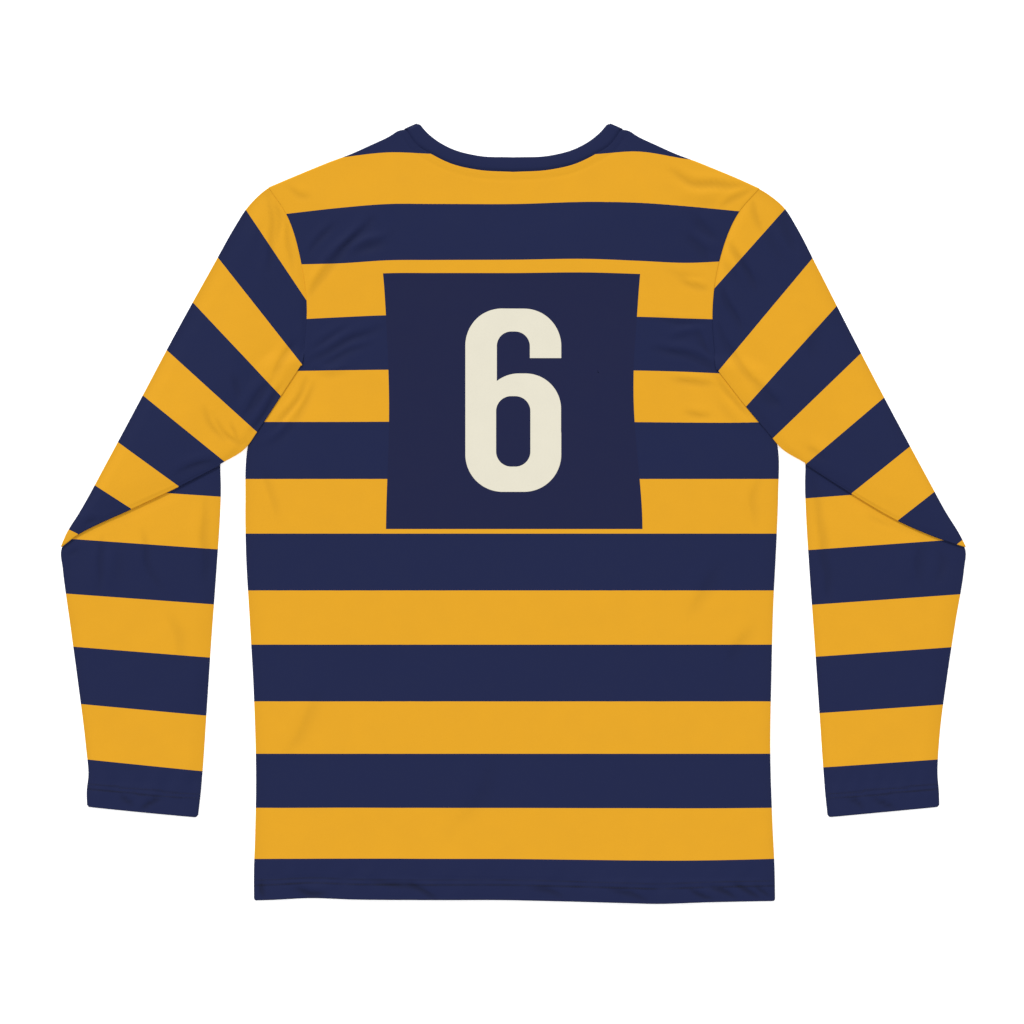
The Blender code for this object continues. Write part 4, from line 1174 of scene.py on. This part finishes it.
def make_sleeve(side, material):
    """One sleeve, a flattened tube with an elbow pleat, and its upper wall's places."""
    margin_shares = shares_with_edges(SLEEVE_WIDTH, SLEEVE_CELL)
    shares = TUBE_MARGIN + (1.0 - 2.0 * TUBE_MARGIN) * margin_shares
    places, middles, normals, bulges, half, hoops, creases = sleeve_stretches(side, shares)
    wall = np.minimum(KNIT, half - THINNEST)
    turn = np.array([SIGN[side], 1.0, 1.0])
    outer, inner = (skin * turn for skin in tube_skins(middles, normals, bulges, half, wall))
    cloth = lifted(places, np.zeros(places.shape[:-1]))
    to_cuffs = distance_to(places, [Edge(CUFF_EDGE[side]).points])
    from_edge = np.minimum(margin_shares, 1.0 - margin_shares)[None, :] * SLEEVE_WIDTH
    # Painted shade: darker in the creases, more near the cuff, and beside the sleeve's folded edges
    shade_shares = edge_shade(crease_shade_share(creases) * turned_shade_gain(to_cuffs), from_edge)
    # The stitch mark sets the painted shade along the cuff's stitch rows
    marks = {"hoop": hoops[..., None], "cloth": cloth, "field": np.full_like(cloth, -OFF_THE_FIELD),
             "painted_shade": shade_shares[..., None], "sewn": stitch_shade_mark(to_cuffs - SEWN_CUFF, 1.0)}
    marks = {mark: round_to_ring(values) for mark, values in marks.items()}
    return cloth_shell(f"sleeve_{side}_cloth", outer, inner, True, marks, material), outer[:, :len(shares)]


def plain_stretch(middles, normals, flat, hoops):
    """A hidden stretch of the sleeve, of even thickness and with no creases."""
    shape = middles.shape[:-1]
    still = np.zeros(shape)
    return (middles[..., :2], middles, normals, still, np.broadcast_to(flat, shape),
            np.broadcast_to(hoops, shape), still)


def binding_sections():
    """Sections round the neck binding: free edge, seam edge and the direction that faces out."""
    low = BINDING_HALF
    reach = BINDING_RADIUS + BINDING_HALF
    fold_run = unit(np.array(NECK_FREE_BACK[0]) - np.array(NECK_SEAM_BACK[0]))
    outward = np.array([-fold_run[1], fold_run[0]])
    sections = []
    for free_table, seam_table, height, face in (
        (NECK_FREE_BACK, NECK_SEAM_BACK, low + 2 * BINDING_RADIUS, 1.0),
        (NECK_FREE_FRONT, NECK_SEAM_FRONT, low, -1.0),
    ):
        shares = np.linspace(0.0, 1.0, BINDING_STEPS)
        half = np.stack([Edge(free_table).at(shares), Edge(seam_table).at(shares)], axis=1)
        half[0] -= outward * reach
        run = np.concatenate([flip(half), half[-2::-1]])
        if face < 0:
            run = run[::-1]
        sections += [(lifted(pair, height), UP * face) for pair in run]
        lean = np.array([outward[0] * np.sign(run[-1][0, 0]), outward[1], 0.0])
        for step in range(1, TURN_STEPS):
            angle = math.pi * step / TURN_STEPS
            spoke = UP * face * math.cos(angle) + lean * math.sin(angle)
            sections.append((lifted(run[-1], low + BINDING_RADIUS) + spoke * BINDING_RADIUS, spoke))
    return sections


def round_neck_corners(skin):
    """Rounds the binding's corners at both shoulders, in place."""
    fold = unit(np.array(NECK_SEAM_BACK[0]) - np.array(NECK_FREE_BACK[0]))
    rim = unit(np.array(NECK_FREE_BACK[1]) - np.array(NECK_FREE_BACK[0]))
    facing = np.array([-fold[1], fold[0]])
    ahead = np.array([rim[1], -rim[0]])
    corner = np.array(NECK_FREE_BACK[0]) + facing * NECK_CORNER_STEP
    for sign in SIGN.values():
        turn = np.array([sign, 1.0])
        skin[..., :2] = round_corner(skin[..., :2] * turn, corner, facing, ahead, NECK_CORNER_RADIUS) * turn


def make_binding(material):
    """The neck binding, a folded strip joined into a ring and laid flat, sewn under the back's edge."""
    shares = shares_with_edges(BINDING_WIDTH, BINDING_CELL)
    crown = BINDING_CROWN * np.sin(math.pi * shares)
    run = shares * BINDING_WIDTH
    rims = np.maximum(rolled(run, BINDING_ROLL), rolled(BINDING_WIDTH - run, BINDING_ROLL))
    edges = rims * (BINDING_HALF - BINDING_RIM)
    outer, inner, middles = [], [], []
    for (free, seam), normal in binding_sections():
        width = np.linalg.norm(seam - free)
        on_top = 1.0 if normal[2] > FACES_UP else 0.0
        reach = BINDING_TUCK * on_top - BINDING_SHORT * (1.0 - on_top)
        middle = free + (seam - free) * (shares * (1.0 + reach / width))[:, None]
        sinking = ease(width - SINK_START, width - SINK_END, shares * (width + reach)) * on_top
        middle[:, 2] -= SINK_DEPTH * sinking
        half = (BINDING_HALF - edges) * (1.0 - 0.5 * sinking)
        outer.append(middle + normal * (half + crown * on_top * (1 - sinking))[:, None])
        inner.append(middle - normal * half[:, None])
        middles.append(middle)
    outer, inner, middles = (np.stack(part, axis=1) for part in (outer, inner, middles))
    for skin in (outer, inner):
        round_neck_corners(skin)
    zero = np.zeros(middles.shape[:-1] + (1,))
    # The binding gets no painted shade: none in creases, and its stitch-row distance is far off
    marks = {"hoop": zero + 0.5, "painted_shade": zero, "sewn": middles + FAR, "cloth": middles}
    marks["field"] = np.full_like(middles, -OFF_THE_FIELD)
    return cloth_shell("binding_cloth", outer, inner, True, marks, material)


def stitch_faces(first):
    """Faces of one stitch, whose points start at an index: its bands and its two ends."""
    faces = []
    for band in range(len(STITCH_SLICES) - 1):
        a = first + band * STITCH_SIDES
        b = a + STITCH_SIDES
        for i in range(STITCH_SIDES):
            j = (i + 1) % STITCH_SIDES
            faces.append((a + i, a + j, b + j, b + i))
    last = first + (len(STITCH_SLICES) - 1) * STITCH_SIDES
    faces += [(first + 5, first + 4, first + 3, first), (first + 3, first + 2, first + 1, first)]
    faces += [(last, last + 3, last + 4, last + 5), (last, last + 1, last + 2, last + 3)]
    return faces


def stitch_row(path, pitch, long, thick):
    """Points and faces of even stitches along a path: short rods with tapered ends."""
    steps = np.linalg.norm(np.diff(path, axis=0), axis=1)
    lengths = np.concatenate([[0.0], np.cumsum(steps)])
    angles = 2 * math.pi * np.arange(STITCH_SIDES) / STITCH_SIDES
    points, faces = [], []
    for place in np.arange(pitch / 2, lengths[-1] - pitch / 2, pitch):
        goals = place + STITCH_SLICES * long
        centres = np.stack([np.interp(goals, lengths, path[:, axis]) for axis in range(3)], axis=-1)
        centres[:, 2] += thick * (STITCH_ARCH * np.cos(STITCH_SLICES * math.pi) - STITCH_SINK)
        run = unit(centres[-1] - centres[0])
        across = unit(np.cross(UP, run))
        rise = np.cross(run, across)
        ring = np.cos(angles)[:, None] * across + STITCH_FLAT * np.sin(angles)[:, None] * rise
        faces += stitch_faces(len(points) * STITCH_SIDES)
        points += [centre + ring * thick * size for centre, size in zip(centres, STITCH_SIZES)]
    return np.concatenate(points), np.array(faces)


def make_stitches(name, paths, pitch, long, thick, material):
    """One joined mesh of the stitches along some paths."""
    points, faces, total = [], [], 0
    for path in paths:
        row_points, row_faces = stitch_row(path, pitch, long, thick)
        points.append(row_points)
        faces.append(row_faces + total)
        total += len(row_points)
    return mesh_piece(name, np.concatenate(points), np.concatenate(faces), {}, material)


def back_path(places):
    """A path on the back panel's outer skin."""
    return lifted(places, back_height(places)[0])


def hem_paths():
    """The hem's two parallel rows of stitches on the back panel."""
    across = np.linspace(*HEM_ROW)
    rows = []
    for above in (SEWN_HEM - SEWN_PAIR, SEWN_HEM):
        up = Edge(HEM_EDGE).up_at(across) + above
        rows.append(back_path(np.stack([across, up], axis=-1)))
    return rows


def neck_path():
    """The row of stitches round the back of the neck, beside the binding's seam."""
    half = Edge(NECK_SEAM_BACK).at(np.linspace(*NECK_ROW))
    runs = unit(np.gradient(half, axis=0))
    offset = half - np.stack([-runs[:, 1], runs[:, 0]], axis=-1) * np.sign(-runs[:, :1]) * SEWN_NECK
    return [back_path(np.concatenate([flip(offset), offset[-2::-1]]))]


def cuff_paths(walls):
    """Two rows of stitches across the top of each cuff."""
    paths = []
    for wall in walls:
        for above in (SEWN_CUFF - SEWN_PAIR, SEWN_CUFF):
            away = np.linalg.norm(wall[:, :, :2] - wall[-1:, :, :2], axis=-1)
            away[:wall.shape[0] // 2] = FAR
            rows = np.abs(away - above).argmin(0)
            paths.append(wall[rows, np.arange(wall.shape[1])][2:-2])
    return paths


class Nodes:
    """A short way to lay out a material's nodes."""

    def __init__(self, name):
        self.material = bpy.data.materials.new(name)
        self.material.use_nodes = True
        self.tree = self.material.node_tree
        self.shader = self.tree.nodes["Principled BSDF"]

    def add(self, kind, *inputs, **settings):
        """A node of a kind, with its settings, and its inputs set or linked in order."""
        node = self.tree.nodes.new(kind)
        for key, value in settings.items():
            setattr(node, key, value)
        for socket, value in zip(node.inputs, inputs):
            self.feed(socket, value)
        return node

    def feed(self, socket, value):
        """Sets a socket to a value, or links it to an output."""
        if value is None:
            return
        if isinstance(value, bpy.types.NodeSocket):
            self.tree.links.new(value, socket)
        else:
            socket.default_value = value

    def math(self, operation, *inputs):
        """The result of a math node."""
        return self.add("ShaderNodeMath", *inputs, operation=operation).outputs[0]

    def vector(self, operation, *inputs, output=0):
        """The result of a vector math node."""
        return self.add("ShaderNodeVectorMath", *inputs, operation=operation).outputs[output]

    def mix(self, share, first, second):
        """Two colours mixed."""
        node = self.add("ShaderNodeMix", share, data_type="RGBA")
        colours = [socket for socket in node.inputs if socket.type == "RGBA"]
        for socket, colour in zip(colours, (first, second)):
            self.feed(socket, colour if isinstance(colour, bpy.types.NodeSocket) else (*colour, 1.0))
        return next(socket for socket in node.outputs if socket.type == "RGBA")

    def noise(self, place, scale, detail):
        """The value of a noise texture."""
        node = self.add("ShaderNodeTexNoise", place)
        node.inputs["Scale"].default_value = scale
        node.inputs["Detail"].default_value = detail
        return node.outputs["Fac"]

    def tint(self, colour, tone):
        """Gives the shader a colour, made lighter or darker by a tone."""
        tinted = self.vector("SCALE", colour)
        self.feed(tinted.node.inputs["Scale"], tone)
        self.feed(self.shader.inputs["Base Color"], tinted)

    def mark(self, name):
        """A mark of the mesh: its vector and number outputs."""
        node = self.add("ShaderNodeAttribute", attribute_name=name)
        return node.outputs["Vector"], node.outputs["Fac"]

    def rounded_box(self, place, box):
        """1 inside a box with rounded corners, 0 outside."""
        across, up, half_width, half_height, radius = box
        gap = self.vector("SUBTRACT", place, (across, up, 0.0))
        gap = self.vector("ABSOLUTE", gap)
        gap = self.vector("SUBTRACT", gap, (half_width - radius, half_height - radius, 0.0))
        gap = self.vector("MAXIMUM", gap, (0.0, 0.0, 0.0))
        return self.math("LESS_THAN", self.vector("LENGTH", gap, output=1), radius)


def numeral_mask(nodes, place):
    """1 inside the numeral, put together from rounded boxes."""
    body = nodes.rounded_box(place, NUMERAL_BODY)
    bowl = nodes.rounded_box(place, NUMERAL_BOWL)
    slot = nodes.rounded_box(place, NUMERAL_SLOT)
    counter = nodes.rounded_box(place, NUMERAL_COUNTER)
    axes = nodes.add("ShaderNodeSeparateXYZ", place).outputs
    right = nodes.math("GREATER_THAN", axes[0], 0.0)
    below = nodes.math("LESS_THAN", axes[1], NUMERAL_ARM_END)
    above = nodes.math("GREATER_THAN", axes[1], NUMERAL_BOWL[1])
    mouth = nodes.math("MULTIPLY", nodes.math("MULTIPLY", right, below), above)
    opening = nodes.math("MAXIMUM", slot, mouth)
    opening = nodes.math("SUBTRACT", opening, bowl)
    cut = nodes.math("MAXIMUM", opening, counter)
    return nodes.math("GREATER_THAN", nodes.math("SUBTRACT", body, cut), 0.5)


def stitch_row_shade(nodes):
    """How strongly the painted shade along a row of stitches darkens a place, from the mark of its distance
    and strength.
    """
    axes = nodes.add("ShaderNodeSeparateXYZ", nodes.mark("sewn")[0]).outputs
    rows = []
    for offset, share in ((0.0, UPPER_ROW_SHADE_SHARE), (SEWN_PAIR, 1.0)):
        away = nodes.math("ABSOLUTE", nodes.math("ADD", axes[0], offset))
        inside = nodes.math("MAXIMUM", nodes.math("MULTIPLY_ADD", away, -1.0 / STITCH_SHADE_HALF, 1.0), 0.0)
        rows.append(nodes.math("MULTIPLY", inside, share))
    return nodes.math("MULTIPLY", nodes.math("MAXIMUM", rows[0], rows[1]), axes[1])


def knit_finish(nodes, place, colour):
    """The knit's fine wales and courses, uneven tone, painted shade in creases, beside edges and along stitch
    rows, and soft sheen.
    """
    axes = nodes.add("ShaderNodeSeparateXYZ", place).outputs
    wale = nodes.math("SINE", nodes.math("MULTIPLY", axes[0], 2 * math.pi / WALE_PITCH))
    course = nodes.math("SINE", nodes.math("MULTIPLY", axes[1], 2 * math.pi / COURSE_PITCH))
    loops = nodes.math("MULTIPLY_ADD", wale, WALE_SHARE, nodes.math("MULTIPLY", wale, course))
    grain = nodes.noise(place, *GRAIN)
    broad = nodes.noise(place, *BROAD)
    tone = nodes.math("MULTIPLY_ADD", grain, *GRAIN_TONE)
    # Painted shade in the creases and beside the edges darkens the tone
    for value, gain in ((broad, BROAD_TONE), (loops, LOOP_TONE), (nodes.mark("painted_shade")[1], PAINTED_SHADE_TONE)):
        tone = nodes.math("MULTIPLY_ADD", value, gain, tone)
    # Painted shade along the stitch rows, uneven along each row
    uneven = nodes.math("MULTIPLY", stitch_row_shade(nodes), nodes.math("MULTIPLY_ADD", broad, *STITCH_SHADE_UNEVEN))
    tone = nodes.math("MULTIPLY_ADD", nodes.math("MAXIMUM", uneven, 0.0), STITCH_SHADE_TONE, tone)
    nodes.tint(colour, tone)
    bump = nodes.add("ShaderNodeBump")
    bump.inputs["Strength"].default_value = KNIT_BUMP
    bump.inputs["Distance"].default_value = BUMP_DEPTH
    nodes.feed(bump.inputs["Height"], nodes.math("MULTIPLY_ADD", loops, LOOP_RISE, grain))
    nodes.feed(nodes.shader.inputs["Normal"], bump.outputs["Normal"])
    nodes.feed(nodes.shader.inputs["Roughness"], nodes.math("MULTIPLY_ADD", broad, *KNIT_ROUGHNESS))
    nodes.shader.inputs["Specular IOR Level"].default_value = KNIT_SPECULAR
    nodes.shader.inputs["Sheen Weight"].default_value = KNIT_SHEEN
    nodes.shader.inputs["Sheen Roughness"].default_value = SHEEN_ROUGHNESS


def hooped_material(name, with_numeral):
    """Jersey knit printed in navy and gold hoops, with the field and numeral where it has them."""
    nodes = Nodes(name)
    place, _ = nodes.mark("cloth")
    _, hoop = nodes.mark("hoop")
    gold = nodes.math("GREATER_THAN", nodes.math("MODULO", hoop, 2.0), 1.0)
    colour = nodes.mix(gold, NAVY, GOLD)
    if with_numeral:
        field, _ = nodes.mark("field")
        inside = nodes.vector("ABSOLUTE", nodes.vector("SUBTRACT", field, (0.5, 0.5, 0.0)))
        axes = nodes.add("ShaderNodeSeparateXYZ", inside).outputs
        widest = nodes.math("MAXIMUM", axes[0], axes[1])
        colour = nodes.mix(nodes.math("LESS_THAN", widest, 0.5), colour, FIELD_NAVY)
        colour = nodes.mix(numeral_mask(nodes, place), colour, CREAM)
    knit_finish(nodes, place, colour)
    return nodes.material


def plain_material(name, colour):
    """Jersey knit of one colour."""
    nodes = Nodes(name)
    place, _ = nodes.mark("cloth")
    knit_finish(nodes, place, nodes.mix(0.0, colour, colour))
    return nodes.material


def thread_material(name, colour):
    """Polyester sewing thread, a little glossier than the knit, with its twist."""
    nodes = Nodes(name)
    nodes.shader.inputs["Roughness"].default_value = THREAD_ROUGHNESS
    twist = nodes.noise(nodes.add("ShaderNodeTexCoord").outputs["Object"], *TWIST)
    nodes.tint(nodes.mix(0.0, colour, colour), nodes.math("MULTIPLY_ADD", twist, *TWIST_TONE))
    nodes.shader.inputs["Specular IOR Level"].default_value = THREAD_SPECULAR
    return nodes.material


def make_stage():
    """A plain white surface, soft light and the camera straight above."""
    bpy.ops.mesh.primitive_plane_add(size=FLOOR_SIZE, location=(0.0, 0.0, -FLOOR_DROP))
    floor = bpy.context.object
    floor.name = "surface"
    nodes = Nodes("white_surface")
    nodes.shader.inputs["Roughness"].default_value = FLOOR_ROUGHNESS
    nodes.shader.inputs["Base Color"].default_value = (*FLOOR_WHITE, 1.0)
    nodes.shader.inputs["Specular IOR Level"].default_value = 0.0
    nodes.shader.inputs["Emission Color"].default_value = (1.0, 1.0, 1.0, 1.0)
    nodes.shader.inputs["Emission Strength"].default_value = FLOOR_GLOW
    floor.data.materials.append(nodes.material)
    world = bpy.data.worlds.new("studio")
    world.use_nodes = True
    world.node_tree.nodes["Background"].inputs["Color"].default_value = (1.0, 1.0, 1.0, 1.0)
    world.node_tree.nodes["Background"].inputs["Strength"].default_value = WORLD_STRENGTH
    bpy.context.scene.world = world
    add_sun("key", SUN_HEIGHT, SUN_SIDE, SUN_STRENGTH)
    camera = bpy.data.objects.new("camera", bpy.data.cameras.new("camera"))
    camera.data.lens = LENS
    camera.data.sensor_width = SENSOR
    camera.data.clip_end = CAMERA_FAR
    camera.location = (*LOOK_AT, FRAME_WIDTH * LENS / SENSOR)
    bpy.context.scene.collection.objects.link(camera)
    bpy.context.scene.camera = camera
    bpy.context.scene.view_settings.view_transform = "Standard"


def add_sun(name, height, side, strength):
    """A soft light from far away, by its height over the surface and its side, in degrees."""
    light = bpy.data.lights.new(name, "SUN")
    light.energy = strength
    light.angle = math.radians(SUN_SPREAD)
    lamp = bpy.data.objects.new(name, light)
    lamp.rotation_euler = (0.0, math.radians(90.0 - height), math.radians(side))
    bpy.context.scene.collection.objects.link(lamp)


def settle(piece, node):
    """Puts a piece on the jersey's body in the place of its solid."""
    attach(piece, "root")
    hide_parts(node)


make_stage()
hooped_knit = hooped_material("hooped_knit", True)
sleeve_knit = hooped_material("sleeve_knit", False)
binding_knit = plain_material("binding_knit", NAVY)
navy_thread = thread_material("navy_thread", THREAD_NAVY)
gold_thread = thread_material("gold_thread", THREAD_GOLD)

front = make_front(hooped_knit)
back = make_back(hooped_knit)
sleeves, walls = {}, {}
for side in SIGN:
    sleeves[side], walls[side] = make_sleeve(side, sleeve_knit)
binding = make_binding(binding_knit)
hem_stitches = make_stitches("hem_stitches", hem_paths(), *STITCH, navy_thread)
neck_stitches = make_stitches("neck_stitches", neck_path(), *STITCH, gold_thread)
cuff_stitches = make_stitches("cuff_stitches", cuff_paths(walls.values()), *CUFF_STITCH, navy_thread)

settle(front, "front")
settle(back, "back")
settle(sleeves["left"], "sleeve_left")
settle(sleeves["right"], "sleeve_right")
settle(binding, "neck_binding")
rows = ((hem_stitches, "hooped_knit"), (neck_stitches, "hooped_knit"), (cuff_stitches, "sleeve_knit"))
for stitches, slot in rows:
    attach(stitches, "root")
